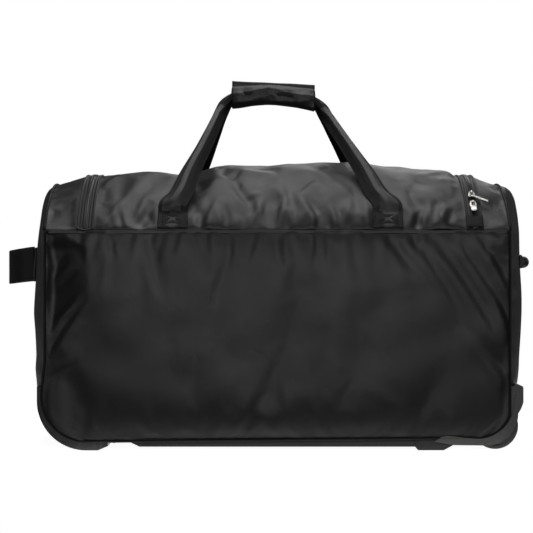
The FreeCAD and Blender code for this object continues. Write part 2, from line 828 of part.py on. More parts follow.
def axle_span():
    return (-D.lip_y + 6, -D.housing_inner - 4)


def wheels():
    housing = wheel_housing()
    node("wheel_housing_front", housing)
    node("wheel_housing_back", mirrored(housing))
    axle = rod("y", D.axle_r, (D.wheel_x, D.wheel_z), axle_span())
    node("wheel_axles", group(axle, mirrored(axle)))
    for side, name in ((-1, "front"), (1, "back")):
        middle = D.wheel_y * side
        half = D.wheel_half
        tyre = turned(D.wheel_x, D.wheel_z, [
            (D.rim_r, middle - half), (D.wheel_z - 4, middle - half, 4),
            (D.wheel_z, middle - half + 4), (D.wheel_z, middle + half - 4, 4),
            (D.wheel_z - 4, middle + half), (D.rim_r, middle + half),
        ])
        node(f"tyre_{name}", tyre)
        lip = D.bearing_r + 3
        hub = turned(D.wheel_x, D.wheel_z, [
            (D.bearing_r, middle - 10), (lip, middle - 10), (lip, middle - 3), (D.rim_r - 4, middle - 3),
            (D.rim_r - 4, middle - 11), (D.rim_r, middle - 11), (D.rim_r, middle + 11),
            (D.rim_r - 4, middle + 11), (D.rim_r - 4, middle + 3), (lip, middle + 3),
            (lip, middle + 10), (D.bearing_r, middle + 10),
        ])
        node(f"wheel_hub_{name}", hub)
        bearings = [
            ring("y", D.bearing_r, D.axle_r + D.running, (D.wheel_x, D.wheel_z), (low, low + 7))
            for low in (middle - 10, middle + 3)
        ]
        node(f"wheel_bearings_{name}", group(*bearings))


# ---------------------------------------------------------------- trolley

def both_tubes(make):
    return [make(-D.tube_y), make(D.tube_y)]


def trolley_fixed():
    tubes = both_tubes(lambda y: ring(
        "x", D.tube_r, D.tube_r - D.tube_wall, (y, D.tube_z), (D.tube_left, D.tube_right)))
    node("outer_tubes", group(*tubes))
    collars = both_tubes(lambda y: ring(
        "x", D.tube_r, D.stem_r + D.running, (y, D.tube_z), (D.tube_left - 6, D.tube_left)))
    node("tube_collars", group(*collars))
    brackets = both_tubes(lambda y: cut(
        block((D.tube_right - 12, D.tube_right + 8), (y - 14, y + 14), (D.floor_z + D.cloth, D.board_z)),
        rod("x", D.tube_r, (y, D.tube_z), (D.tube_right - 20, D.tube_right))))
    node("tube_brackets", group(*brackets))
    mouth = D.tube_left - 6
    shell = prism("xz", [
        (D.cup_left, D.cup_low + 27, 27), (D.cup_left + 27, D.cup_low), (D.cup_right, D.cup_low),
        (D.cup_right, D.cup_high), (D.cup_left, D.cup_high),
    ], -D.cup_half, D.cup_half)
    pocket = block((-WIDE, mouth), (6 - D.cup_half, D.cup_half - 6), (D.cup_low + 8, D.cup_high - 5))
    hollow = block((mouth + 6, WIDE), (-D.tube_y + 16, D.tube_y - 16), (D.cup_low + 6, D.cup_high - 6))
    bores = both_tubes(lambda y: rod("x", D.tube_r, (y, D.tube_z), (mouth, D.cup_right)))
    node("trolley_cup", cut(shell, pocket, hollow, *bores))


def trolley_moving():
    stem_left = D.bar_right - 2.6
    stems = both_tubes(lambda y: cut(
        ring("x", D.stem_r, D.stem_r - D.tube_wall, (y, D.tube_z), (stem_left, 195)),
        rod("z", D.pin_r + 0.1, (180, y), (D.tube_z, D.tube_z + 10))))
    node("inner_tubes", group(*stems))
    bar = prism(
        "xz", rounded(D.bar_left, D.bar_right, D.tube_z - 11, D.tube_z + 11, size(7)),
        -D.bar_half, D.bar_half)
    slot = block((D.bar_left + 7, D.bar_right - 1), (-D.tube_y - 4, D.tube_y + 4),
                 (D.tube_z - 5.6, D.tube_z + 5.6))
    mouth = block((D.bar_left - 2, D.bar_left + 8), (-14.4, 14.4), (D.tube_z - 5.4, D.tube_z + 5.4))
    sockets = both_tubes(lambda y: rod("x", D.stem_r, (y, D.tube_z), (stem_left, D.bar_right)))
    node("trolley_grip", cut(bar, slot, mouth, *sockets))
    link_x = D.bar_left + 8
    button = block((D.bar_left - 3, link_x), (-14, 14), (D.tube_z - 5, D.tube_z + 5))
    node("release_button", button)
    link = block((link_x, link_x + 3), (-D.tube_y - 2, D.tube_y + 2), (D.tube_z - 2, D.tube_z + 2))
    rods = both_tubes(lambda y: rod("x", D.pin_r, (y, D.tube_z), (link_x + 3, 186)))
    node("push_rods", fuse(link, *rods))
    helix = DOC.addObject("Part::Helix", "coil")
    helix.Pitch = 1.4
    helix.Height = 4.2
    helix.Radius = 2.6
    section = DOC.addObject("Part::Circle", "wire")
    section.Radius = 0.45
    section.Placement = Placement(Vector(2.6, 0, 0), Rotation(Vector(1, 0, 0), 90))
    spring = DOC.addObject("Part::Sweep", "spring")
    spring.Sections = [section]
    spring.Spine = (helix, ["Edge1"])
    spring.Solid = True
    spring.Frenet = True
    placed = DOC.addObject("Part::Compound", "placed")
    placed.Links = [spring]
    placed.Placement = Placement(Vector(), TURN["x"])
    bind(placed, "Placement.Base.x", link_x + 3.6)
    bind(placed, "Placement.Base.z", D.tube_z)
    node("button_spring", placed)
    pins = both_tubes(lambda y: rod("z", D.pin_r, (180, y), (D.tube_z + 2.6, D.tube_z + 6.4)))
    node("lock_pins", group(*pins))


# ---------------------------------------------------------------- build, check and write

soft_body()
top_sections()
side_piping()
zip_body()
lid()
sliders()
carry_handles()
end_loop()
end_grip()
base()
corner_guards()
wheels()
trolley_fixed()
trolley_moving()
DOC.recompute()

for item in DOC.Objects:
    if "Invalid" in item.State or "Error" in item.State:
        raise SystemExit(f"{item.Name} ({item.Label}) did not compute: {item.State}")

os.makedirs("parts", exist_ok=True)
whole = FreeCAD.BoundBox()
for piece in NODES:
    shape = piece.Shape
    if shape.isNull() or not shape.isValid() or not shape.Solids:
        raise SystemExit(f"{piece.Label} has no valid solid")
    shape.exportStep(f"parts/{piece.Label}.step")
    whole.add(shape.BoundBox)
print(len(NODES), "sub-parts,", whole)
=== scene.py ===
import json
import math

import bmesh
import bpy
import numpy as np
from mathutils import Matrix, Vector


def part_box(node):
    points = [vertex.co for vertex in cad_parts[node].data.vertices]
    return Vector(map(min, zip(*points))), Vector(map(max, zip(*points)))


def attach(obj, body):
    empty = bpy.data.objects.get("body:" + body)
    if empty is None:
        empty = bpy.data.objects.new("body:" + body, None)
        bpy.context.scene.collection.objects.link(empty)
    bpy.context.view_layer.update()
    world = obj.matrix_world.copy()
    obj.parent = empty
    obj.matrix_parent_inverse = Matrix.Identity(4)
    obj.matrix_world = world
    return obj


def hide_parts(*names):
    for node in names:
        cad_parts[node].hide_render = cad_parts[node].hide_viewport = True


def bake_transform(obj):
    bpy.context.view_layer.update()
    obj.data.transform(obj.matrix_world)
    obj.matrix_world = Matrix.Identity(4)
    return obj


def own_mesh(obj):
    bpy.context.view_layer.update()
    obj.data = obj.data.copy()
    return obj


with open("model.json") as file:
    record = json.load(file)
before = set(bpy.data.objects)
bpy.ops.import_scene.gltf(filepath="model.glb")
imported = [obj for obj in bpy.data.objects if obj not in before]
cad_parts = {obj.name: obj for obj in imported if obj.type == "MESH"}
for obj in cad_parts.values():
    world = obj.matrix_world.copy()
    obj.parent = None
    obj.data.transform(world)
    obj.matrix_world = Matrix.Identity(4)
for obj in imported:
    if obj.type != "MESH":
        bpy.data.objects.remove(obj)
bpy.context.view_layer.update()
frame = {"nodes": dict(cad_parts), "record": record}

# Sizes of the bag, in metres, in the frame's axes.
MM = 0.001
SEAM_LEFT, SEAM_RIGHT = -0.306, 0.336
HALF_DEPTH = 0.175
FLOOR, SEAM, SHOULDER = 0.016, 0.303, 0.125
END_CREST, ARM_CREST = 0.372, 0.385
CORNERS = ((-0.248, 0.079, 0.063), (0.2895, 0.067, 0.051))
ZIP_LEFT, ZIP_RIGHT = -0.250, 0.2875
TAPE_HALF, ZIP_GAP = 0.01125, 0.0003
STRAPS = {"left": (-0.150, -0.109), "right": (0.147, 0.188)}
PATCH_TOP = 0.329
ROOT_Y, ROOT_Z = 0.1596, 0.331
GRIP_MIDDLE = 0.010
HOUSING_X, HOUSING_Z, HOUSING_Y = 0.262, 0.088, 0.113
CUP_X, CUP_Z, CUP_Y = -0.262, 0.066, 0.098
WALL = 2.4 * MM
MIRROR = np.array([1, -1, 1])


# ---------------------------------------------------------------- mesh helpers

def link(name, data):
    """Put a mesh, light or camera in the scene."""
    piece = bpy.data.objects.new(name, data)
    bpy.context.scene.collection.objects.link(piece)
    return piece


def new_piece(name, verts, faces, material, uvs=None, smooth=True):
    """A mesh object from plain arrays, with one UV pair per vertex in metres of cloth."""
    mesh = bpy.data.meshes.new(name)
    mesh.from_pydata([tuple(v) for v in verts], [], [tuple(int(i) for i in f) for f in faces])
    mesh.validate()
    if uvs is not None:
        loops = np.zeros(len(mesh.loops), np.int32)
        mesh.loops.foreach_get("vertex_index", loops)
        mesh.uv_layers.new(name="UVMap").data.foreach_set("uv", np.asarray(uvs)[loops].ravel())
    mesh.polygons.foreach_set("use_smooth", [smooth] * len(mesh.polygons))
    mesh.materials.append(material)
    return link(name, mesh)


def grid_faces(rows, columns, wrap=False, keep=None):
    """Quads of a grid of vertices. wrap closes its columns into a tube, and keep says which quads stay."""
    faces = []
    for r in range(rows - 1):
        for c in range(columns if wrap else columns - 1):
            if keep is None or keep[r, c]:
                d = (c + 1) % columns
                faces.append((r * columns + c, r * columns + d, (r + 1) * columns + d, (r + 1) * columns + c))
    return faces


def grid_piece(name, points, uvs, material, keep=None):
    """A sheet from its table of points, or its x, y and z tables, and its u and v tables."""
    points = np.stack(points, axis=-1) if isinstance(points, tuple) else points
    rows, columns = points.shape[:2]
    return new_piece(name, points.reshape(-1, 3), grid_faces(rows, columns, keep=keep),
                     material, np.stack(uvs, axis=-1).reshape(-1, 2))


def bake(piece):
    """Apply every modifier."""
    graph = bpy.context.evaluated_depsgraph_get()
    mesh = bpy.data.meshes.new_from_object(piece.evaluated_get(graph))
    piece.modifiers.clear()
    old, piece.data = piece.data, mesh
    bpy.data.meshes.remove(old)
    return piece


def points_of(piece):
    return np.array([v.co for v in piece.data.vertices], float)


def set_points(piece, points):
    piece.data.vertices.foreach_set("co", np.asarray(points).ravel())
    piece.data.update()
    return piece


def finish_cloth(piece, thickness, levels=1, lining=None):
    """Give a sheet its wall thickness, a smooth surface and, if it has one, a lining on its inside."""
    shell = piece.modifiers.new("wall", "SOLIDIFY")
    shell.thickness = thickness
    shell.offset = -1.0
    if lining:
        piece.data.materials.append(lining)
        shell.material_offset = 1
    if levels:
        piece.modifiers.new("round", "SUBSURF").levels = levels
    return bake(piece)


def sweep(name, path, across, up, section, material, wrap=True, caps=True):
    """A section carried along a path. across and up are one axis, or one per station, and so is the section."""
    path = np.asarray(path, float)
    count = len(path)
    across = np.broadcast_to(np.asarray(across, float), (count, 3))
    up = np.broadcast_to(np.asarray(up, float), (count, 3))
    section = np.asarray(section, float)
    section = np.broadcast_to(section, (count,) + section.shape[-2:])
    points = (path[:, None] + across[:, None] * section[:, :, :1] + up[:, None] * section[:, :, 1:])
    girth = running(section)
    uvs = np.stack([girth, np.broadcast_to(running(path)[:, None], girth.shape)], axis=-1)
    columns = section.shape[1]
    faces = grid_faces(count, columns, wrap)
    if wrap and caps:
        faces.append(tuple(reversed(range(columns))))
        faces.append(tuple(range((count - 1) * columns, count * columns)))
    return new_piece(name, points.reshape(-1, 3), faces, material, uvs.reshape(-1, 2))


def unit(vectors):
    vectors = np.asarray(vectors, float)
    return vectors / np.maximum(np.linalg.norm(vectors, axis=-1, keepdims=True), 1e-12)


def tangents(path):
    return unit(np.gradient(np.asarray(path, float), axis=0))


def running(points):
    """Distance along a line of points, or along each line of a table of them."""
    steps = np.linalg.norm(np.diff(points, axis=-2), axis=-1)
    return np.concatenate([np.zeros_like(steps[..., :1]), np.cumsum(steps, axis=-1)], axis=-1)


def along_line(places, run, table):
    """The columns of a table at places along its running length."""
    return np.stack([np.interp(places, run, column) for column in table.T], axis=-1)


def smooth_line(points, count):
    """Catmull-Rom curve through points, evenly spaced."""
    points = np.asarray(points, float)
    padded = np.vstack([2 * points[0] - points[1], points, 2 * points[-1] - points[-2]])
    fine = []
    for i in range(len(points) - 1):
        a, b, c, d = padded[i:i + 4]
        t = np.linspace(0, 1, 24, endpoint=False)[:, None]
        fine.append(0.5 * (2 * b + (c - a) * t + (2 * a - 5 * b + 4 * c - d) * t ** 2
                           + (3 * b - a - 3 * c + d) * t ** 3))
    fine = np.vstack(fine + [points[-1:]])
    length = running(fine)
    return along_line(np.linspace(0, length[-1], count), length, fine)


def circle(sides):
    turn = np.linspace(0, 2 * math.pi, sides, endpoint=False)
    return np.stack([np.cos(turn), np.sin(turn)], axis=1)


def tube(name, path, radius, material, sides=10):
    """A round cord along a path."""
    path = np.asarray(path, float)
    along = tangents(path)
    normal = unit(np.cross(along[0], (0.3, 0.5, 0.81)))
    across = []
    for direction in along:
        normal = unit(normal - direction * np.dot(normal, direction))
        across.append(normal)
    return sweep(name, path, across, np.cross(along, across), circle(sides) * radius, material)


def join(name, pieces):
    """Several meshes as one piece."""
    mesh = bmesh.new()
    for piece in pieces:
        mesh.from_mesh(piece.data)
    merged = bpy.data.meshes.new(name)
    mesh.to_mesh(merged)
    mesh.free()
    for material in pieces[0].data.materials:
        merged.materials.append(material)
    for piece in pieces:
        bpy.data.objects.remove(piece)
    return link(name, merged)


def place(piece, body, slot, *nodes):
    """Ride on a body and stand for CAD nodes. The slot is not used."""
    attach(piece, body)
    return stand_for(piece, slot, *nodes)


def stand_for(piece, slot, *nodes):
    if nodes:
        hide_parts(*nodes)
    return piece


def stitches(name, lines, material, pitch=3.6 * MM, length=2.7 * MM, girth=0.38 * MM):
    """Rows of sewn thread. Each line is (points, normals)."""
    verts, faces = [], []
    for points, normals in lines:
        points = np.asarray(points, float)
        normals = np.broadcast_to(np.asarray(normals, float), points.shape)
        run = running(points)
        for start in np.arange(pitch * 0.3, run[-1] - length * 0.8, pitch):
            spine = along_line(start + np.array([0, 0.22, 0.78, 1]) * length, run, points)
            normal = unit(along_line(start + length / 2, run, normals))
            side = unit(np.cross(unit(spine[-1] - spine[0]), normal)) * girth
            lift = normal * girth
            base = len(verts)
            verts.append(spine[0])
            for centre in spine[1:3]:
                verts += [centre + side, centre + lift, centre - side]
            verts.append(spine[3])
            faces += [(base, base + 2, base + 1), (base, base + 3, base + 2),
                      (base + 1, base + 2, base + 5, base + 4), (base + 2, base + 3, base + 6, base + 5),
                      (base + 4, base + 5, base + 7), (base + 5, base + 6, base + 7)]
    return new_piece(name, verts, faces, material)


# ---------------------------------------------------------------- cloth shape helpers

def ramp(value, low, high):
    """Smooth 0 to 1 between two values."""
    t = np.clip((value - low) / (high - low), 0, 1)
    return t * t * (3 - 2 * t)


def fold(u, v, start, end, height, width, bow=0.0, lean=0.0):
    """Height of one soft fold between two points of the cloth. lean puts a valley on one side of it."""
    du, dv = end[0] - start[0], end[1] - start[1]
    length = math.hypot(du, dv)
    t = ((u - start[0]) * du + (v - start[1]) * dv) / length ** 2
    across = ((v - start[1]) * du - (u - start[0]) * dv) / length - bow * 4 * t * (1 - t)
    taper = np.clip(np.sin(math.pi * np.clip(t, 0, 1)), 0, 1) ** 0.7
    s = across / width
    return height * taper * (np.exp(-s * s) - lean * np.exp(-(s - 1.5) ** 2))


def folds(u, v, table, tall=1.0, wide=1.0):
    """Height of a table of folds. A row is its start, end, height, width and bow in millimetres, and its lean."""
    total = np.zeros_like(u)
    for row in np.array(table):
        start, end, (height, width, bow) = row[:2] * MM, row[2:4] * MM, row[4:7] * MM
        total += fold(u, v, start, end, tall * height, wide * width, bow, row[7])
    return total


def unevenness(u, v, seed, shortest, longest, height, count=26):
    """Slow irregular rise and fall of stuffed cloth."""
    rng = np.random.default_rng(seed)
    total = np.zeros_like(u)
    for _ in range(count):
        wave = math.exp(rng.uniform(math.log(shortest), math.log(longest)))
        angle, phase = rng.uniform(0, math.pi), rng.uniform(0, 2 * math.pi)
        total += wave / longest * np.sin(2 * math.pi / wave * (u * math.cos(angle) + v * math.sin(angle)) + phase)
    return height * total / math.sqrt(count) * 1.6


def gathers(u, v, low, high, seed, spacing, height, reach):
    """Short irregular folds that fan out from a seam at v = 0, as the eased cloth is drawn into it."""
    rng = np.random.default_rng(seed)
    total = np.zeros_like(u)
    place = low
    while place < high:
        long = rng.uniform(*reach)
        lean = rng.uniform(-0.45, 0.45)
        tip = (place + lean * long, long)
        total += fold(u, v, (place, -0.3 * long), tip, height * rng.uniform(0.35, 1), rng.uniform(0.22, 0.4) * spacing,
                      rng.uniform(-0.1, 0.1) * long, 0.6)
        place += spacing * rng.uniform(0.55, 1.5)
    return total


def settle(piece, held, ease, pressure, cap, frames=14):
    """Let eased cloth buckle between its seams, and keep each point within a cap of where it was laid.
    held is how firmly each vertex is sewn, 0 to 1."""
    rest = points_of(piece)
    pins = piece.vertex_groups.new(name="seams")
    for index, weight in enumerate(held):
        if weight > 0:
            pins.add([index], float(weight), "REPLACE")
    cloth = piece.modifiers.new("cloth", "CLOTH")
    cloth.point_cache.frame_end = frames
    rules = cloth.settings
    for key, value in dict(quality=4, mass=0.15, tension_stiffness=12, compression_stiffness=12, shear_stiffness=4,
                           bending_stiffness=0.35, vertex_group_mass="seams", shrink_min=-ease, use_pressure=True,
                           uniform_pressure_force=pressure).items():
        setattr(rules, key, value)
    rules.effector_weights.gravity = 0
    scene = bpy.context.scene
    for number in range(1, frames + 1):
        scene.frame_set(number)
    moved = points_of(piece.evaluated_get(bpy.context.evaluated_depsgraph_get()))
    piece.modifiers.clear()
    piece.vertex_groups.clear()
    scene.frame_set(1)
    step = moved - rest
    size = np.linalg.norm(step, axis=1, keepdims=True)
    step *= np.tanh(size / cap) * cap / np.maximum(size, 1e-9)
    return set_points(piece, rest + step)


def barrel(crest):
    """Radius, centre height and half angle of the barrel arc that reaches a crest height."""
    rise = crest - SEAM
    radius = (HALF_DEPTH ** 2 + rise ** 2) / (2 * rise)
    return radius, crest - radius, np.arcsin(HALF_DEPTH / radius)


LID_CREST = np.array([
    (-0.306, 0.372), (-0.275, 0.381), (-0.262, 0.385), (-0.238, 0.385), (-0.215, 0.3875), (-0.170, 0.3885),
    (-0.130, 0.3870), (-0.103, 0.3885), (-0.075, 0.3960), (-0.031, 0.3990), (0.059, 0.4010), (0.116, 0.4020),
    (0.158, 0.3970), (0.200, 0.3945), (0.235, 0.3920), (0.262, 0.3880), (0.276, 0.3850), (0.300, 0.3850),
    (0.313, 0.3800), (0.336, 0.372)])


def crest_at(x):
    return np.interp(x, LID_CREST[:, 0], LID_CREST[:, 1])


def on_barrel(x, share, lift=0.0, crest=None):
    """Points on the barrel top. share runs from 0 at the front seam to 1 at the back seam."""
    x, share = np.broadcast_arrays(np.asarray(x, float), np.asarray(share, float))
    radius, centre, half = barrel(crest_at(x) if crest is None else crest)
    angle = half * (1 - 2 * share)
    reach = radius + lift
    return np.stack([x, -reach * np.sin(angle), centre + reach * np.cos(angle)], axis=-1)


def barrel_normal(x, share, crest=None):
    x, share = np.broadcast_arrays(np.asarray(x, float), np.asarray(share, float))
    _, _, half = barrel(crest_at(x) if crest is None else crest)
    angle = half * (1 - 2 * share)
    return np.stack([np.zeros_like(angle), -np.sin(angle), np.cos(angle)], axis=-1)


def share_at(z, crest):
    """Share along the barrel arc where its front half passes a height."""
    radius, centre, half = barrel(crest)
    return (1 - np.arccos(np.clip((z - centre) / radius, -1, 1)) / half) / 2


def outline_x(z, side):
    """X of the front panel's edge at a height, on its left (0) or right (1) side."""
    x, centre, radius = CORNERS[side]
    seam = SEAM_LEFT if side == 0 else SEAM_RIGHT
    drop = np.clip(centre - z, 0, radius)
    reach = np.sqrt(radius ** 2 - drop ** 2)
    if side == 0:
        return np.where(z > centre, np.interp(z, (centre, SHOULDER), (x - radius, seam)), x - reach)
    return np.where(z > centre, seam, np.minimum(x + reach, seam))


def sag(x, z):
    """How far the front and back panels hang over the guards at their lower left."""
    return 0.005 * ramp(-x, 0.168, 0.205) * ramp(0.105 - z, 0.0, 0.05)


# ---------------------------------------------------------------- materials

class Shade:
    """Builds one Principled material."""

    def __init__(self, name):
        self.material = bpy.data.materials.new(name)
        self.material.use_nodes = True
        self.nodes = self.material.node_tree.nodes
        self.where = self.node("ShaderNodeTexCoord", "Object")

    def put(self, socket, value):
        """Give a socket a plain value, or a node's output to follow."""
        if isinstance(value, bpy.types.NodeSocket):
            self.material.node_tree.links.new(value, socket)
        else:
            socket.default_value = value

    def set(self, **values):
        """Fill the shader's inputs."""
        for key, value in values.items():
            self.put(self.nodes["Principled BSDF"].inputs[key.replace("_", " ")], value)
        return self.material

    def node(self, kind, output, inputs=(), **settings):
        made = self.nodes.new(kind)
        for key, value in settings.items():
            setattr(made, key, value)
        for key, value in dict(inputs).items():
            self.put(made.inputs[key], value)
        return made.outputs[output]

    def math(self, operation, *values):
        return self.node("ShaderNodeMath", 0, dict(enumerate(values)), operation=operation)

    def noise(self, scale, detail=3.0, rough=0.55, vector=None):
        return self.node("ShaderNodeTexNoise", "Fac", {"Vector": self.where if vector is None else vector,
                                                       "Scale": scale, "Detail": detail, "Roughness": rough})

    def span(self, value, low, high, start=0.0, end=1.0):
        return self.node("ShaderNodeMapRange", 0, {0: value, 1: start, 2: end, 3: low, 4: high})

    def tint(self, value, dark, light):
        """Mix of two colours, each a grey level or a triple."""
        dark, light = ((*np.broadcast_to(colour, 3).tolist(), 1) for colour in (dark, light))
        return self.node("ShaderNodeMix", 2, {0: value, 6: dark, 7: light}, data_type="RGBA")

    def bump(self, height, strength, distance, **normal):
        return self.node("ShaderNodeBump", 0, {"Height": height, "Strength": strength, "Distance": distance, **normal})

    def weave(self, pitch, slant):
        """Height of a plain or slanted weave whose threads are a pitch apart, from the cloth's UVs."""
        cloth = self.node("ShaderNodeUVMap", "UV", uv_map="UVMap")
        axes = self.node("ShaderNodeSeparateXYZ", "X", {0: cloth}).node.outputs
        u, v = (self.math("MULTIPLY", axes[axis], math.pi / pitch) for axis in ("X", "Y"))
        if slant:
            u = self.math("ADD", u, self.math("MULTIPLY", v, slant))
        warp, weft = self.math("SINE", u), self.math("SINE", v)
        over = self.math("GREATER_THAN", self.math("MULTIPLY", warp, weft), 0.0)
        return self.node("ShaderNodeMix", 0, {0: over, 2: self.math("ABSOLUTE", warp), 3: self.math("ABSOLUTE", weft)},
                         data_type="FLOAT")


def fabric(name, dark, light, pitch, roughness, sheen, slant=0.0, relief=0.25 * MM, specular=0.25):
    """Woven cloth, clouded and worn."""
    shade = Shade(name)
    threads, cloud = shade.weave(pitch, slant), shade.noise(7.0, 4.0)
    slub, wear = shade.noise(420.0, 2.0), shade.noise(38.0, 5.0, 0.65)
    level = shade.math("ADD", shade.math("MULTIPLY", threads, 0.45),
                       shade.math("MULTIPLY", shade.math("ADD", cloud, slub), 0.32))
    rough = shade.span(shade.math("ADD", cloud, wear), roughness - 0.07, roughness + 0.09, 0.6, 1.4)
    normal = shade.bump(wear, 0.16, 0.9 * MM, Normal=shade.bump(threads, 0.32, relief))
    return shade.set(Base_Color=shade.tint(level, dark, light), Roughness=rough, Normal=normal, Sheen_Weight=sheen,
                     Sheen_Roughness=0.42, Sheen_Tint=(0.80, 0.80, 0.84, 1), Specular_IOR_Level=specular)


def moulded(name, dark, light, roughness, specular=0.5):
    """Injection-moulded plastic: a fine spark grain, uneven gloss and scuffs low down."""
    shade = Shade(name)
    cloud = shade.noise(22.0, 4.0, 0.6)
    low = shade.span(shade.node("ShaderNodeSeparateXYZ", "Z", {0: shade.where}), 1.0, 0.0, 0.002, 0.05)
    scuff = shade.math("MULTIPLY", low, shade.span(shade.noise(210.0, 6.0, 0.7), 0.0, 1.0, 0.52, 0.66))
    level = shade.math("ADD", shade.math("MULTIPLY", cloud, 0.5), shade.math("MULTIPLY", scuff, 0.6))
    rough = shade.math("ADD", shade.span(cloud, roughness - 0.06, roughness + 0.06, 0.3, 0.7),
                       shade.math("MULTIPLY", scuff, 0.2))
    return shade.set(Base_Color=shade.tint(level, dark, light), Roughness=rough, Specular_IOR_Level=specular,
                     Normal=shade.bump(shade.noise(1500.0, 2.0), 0.3, 0.12 * MM))


def metal(name, dark, light, roughness):
    """Brushed metal."""
    shade = Shade(name)
    stretch = shade.node("ShaderNodeMapping", 0, {"Vector": shade.where, "Scale": (90.0, 90.0, 2200.0)})
    brush, cloud = shade.noise(1.0, 3.0, vector=stretch), shade.noise(120.0, 3.0)
    rough = shade.span(shade.math("ADD", brush, cloud), roughness - 0.07, roughness + 0.1, 0.6, 1.4)
    return shade.set(Base_Color=shade.tint(cloud, dark, light), Roughness=rough, Metallic=1.0,
                     Normal=shade.bump(brush, 0.12, 0.08 * MM))


def dull(name, dark, light, roughness, cloud, grain, strength, relief):
    """Rubber or pressed fibre. cloud and grain are what noise() takes."""
    shade = Shade(name)
    dust = shade.noise(*cloud)
    return shade.set(Base_Color=shade.tint(dust, dark, light), Roughness=shade.span(dust, *roughness, 0.3, 0.7),
                     Normal=shade.bump(shade.noise(*grain), strength, relief))


BAG = fabric("bag_fabric", (0.0050, 0.0050, 0.0052), (0.0115, 0.0112, 0.0115), 0.85 * MM, 0.41, 0.02, specular=0.5)
WEBBING = fabric("webbing", (0.0110, 0.0110, 0.0113), (0.0260, 0.0255, 0.0258), 1.3 * MM, 0.43, 0.03, 0.5, 0.5 * MM,
                 0.5)
BINDING = fabric("binding", (0.0030, 0.0030, 0.0031), (0.0090, 0.0088, 0.0088), 1.6 * MM, 0.58, 0.02, 1.0, 0.5 * MM,
                 0.2)
TAPE = fabric("zip_tape", (0.0045, 0.0045, 0.0046), (0.0120, 0.0117, 0.0117), 0.7 * MM, 0.50, 0.02, 1.0, 0.3 * MM, 0.4)
LINING = fabric("lining", (0.030, 0.030, 0.032), (0.055, 0.055, 0.058), 0.5 * MM, 0.55, 0.05, specular=0.3)
THREAD = fabric("thread", (0.0110, 0.0110, 0.0112), (0.0260, 0.0255, 0.0255), 0.4 * MM, 0.45, 0.05)
COIL = moulded("zip_coil", 0.008, 0.02, 0.35)
NICKEL = metal("slider_metal", (0.36, 0.355, 0.34), (0.56, 0.55, 0.53), 0.26)
STEEL = metal("steel", (0.42, 0.42, 0.43), 0.60, 0.3)
GUARD = moulded("guard_plastic", 0.018, (0.040, 0.040, 0.039), 0.30, 0.6)
FIBRE = (260.0, 6.0, 0.7)

FINISHES = {
    "bag_fabric": BAG, "webbing": WEBBING, "zip_tape": TAPE, "zip_coil": COIL, "slider_metal": NICKEL, "steel": STEEL,
    "moulded_black": moulded("moulded_black", 0.0075, (0.021, 0.021, 0.020), 0.42, 0.35),
    "moulded_grey": moulded("moulded_grey", (0.052, 0.052, 0.050), (0.086, 0.086, 0.083), 0.38, 0.45),
    "hub_plastic": moulded("hub_plastic", (0.050, 0.050, 0.049), (0.085, 0.085, 0.082), 0.35),
    "tube_metal": metal("tube_metal", (0.45, 0.45, 0.46), (0.62, 0.62, 0.63), 0.28),
    "screw_steel": metal("screw_steel", 0.05, 0.12, 0.4),
    "tyre_rubber": dull("tyre_rubber", 0.010, (0.032, 0.031, 0.030), (0.55, 0.8), (60.0, 5.0, 0.6), (900.0, 3.0),
                        0.4, 0.2 * MM),
    "stiffener": dull("stiffener", (0.02, 0.02, 0.021), 0.05, (0.7, 0.9), FIBRE, FIBRE, 0.35, 0.3 * MM),
}


def finish_cad_nodes():
    """Every carried-over CAD node takes the finish of its slot, and the corner guards a glossier one."""
    for entry in frame["record"]["subparts"]:
        finish = GUARD if entry["node"].startswith("corner_guard") else FINISHES[entry["material_slot"]]
        mesh = frame["nodes"][entry["node"]].data
        mesh.materials.clear()
        mesh.materials.append(finish)


# ---------------------------------------------------------------- soft body

def fix_normals(piece, centre=None):
    """Turn the faces of a closed piece outwards, or those of an open sheet away from a centre."""
    mesh = bmesh.new()
    mesh.from_mesh(piece.data)
    if centre is None:
        bmesh.ops.recalc_face_normals(mesh, faces=mesh.faces)
    elif sum(f.normal.dot(f.calc_center_median() - centre) * f.calc_area() for f in mesh.faces) < 0:
        bmesh.ops.reverse_faces(mesh, faces=mesh.faces)
    mesh.to_mesh(piece.data)
    mesh.free()
    return piece


def edge_pins(rows, columns):
    """Vertices sewn into a seam on all four sides of a grid."""
    held = np.zeros((rows, columns))
    held[[0, -1], :] = 1
    held[:, [0, -1]] = 1
    return held.ravel()


def sheet(name, points, uvs, keep=None, levels=1, material=BAG, wall=WALL, lining=LINING, sewn=None):
    """A sheet with its wall and lining. sewn is the rest of what settle() takes, for cloth that is eased."""
    piece = fix_normals(grid_piece(name, points, uvs, material, keep), Vector((0.01, 0, 0.2)))
    if sewn:
        settle(piece, *sewn)
    return finish_cloth(piece, wall, levels, lining)


def stations(first, *spans):
    """Places along a line: from the first to each stop in turn. A span is its stop and its count."""
    places = [first]
    for stop, count in spans:
        places += list(np.linspace(places[-1], stop, count)[1:])
    return np.array(places)


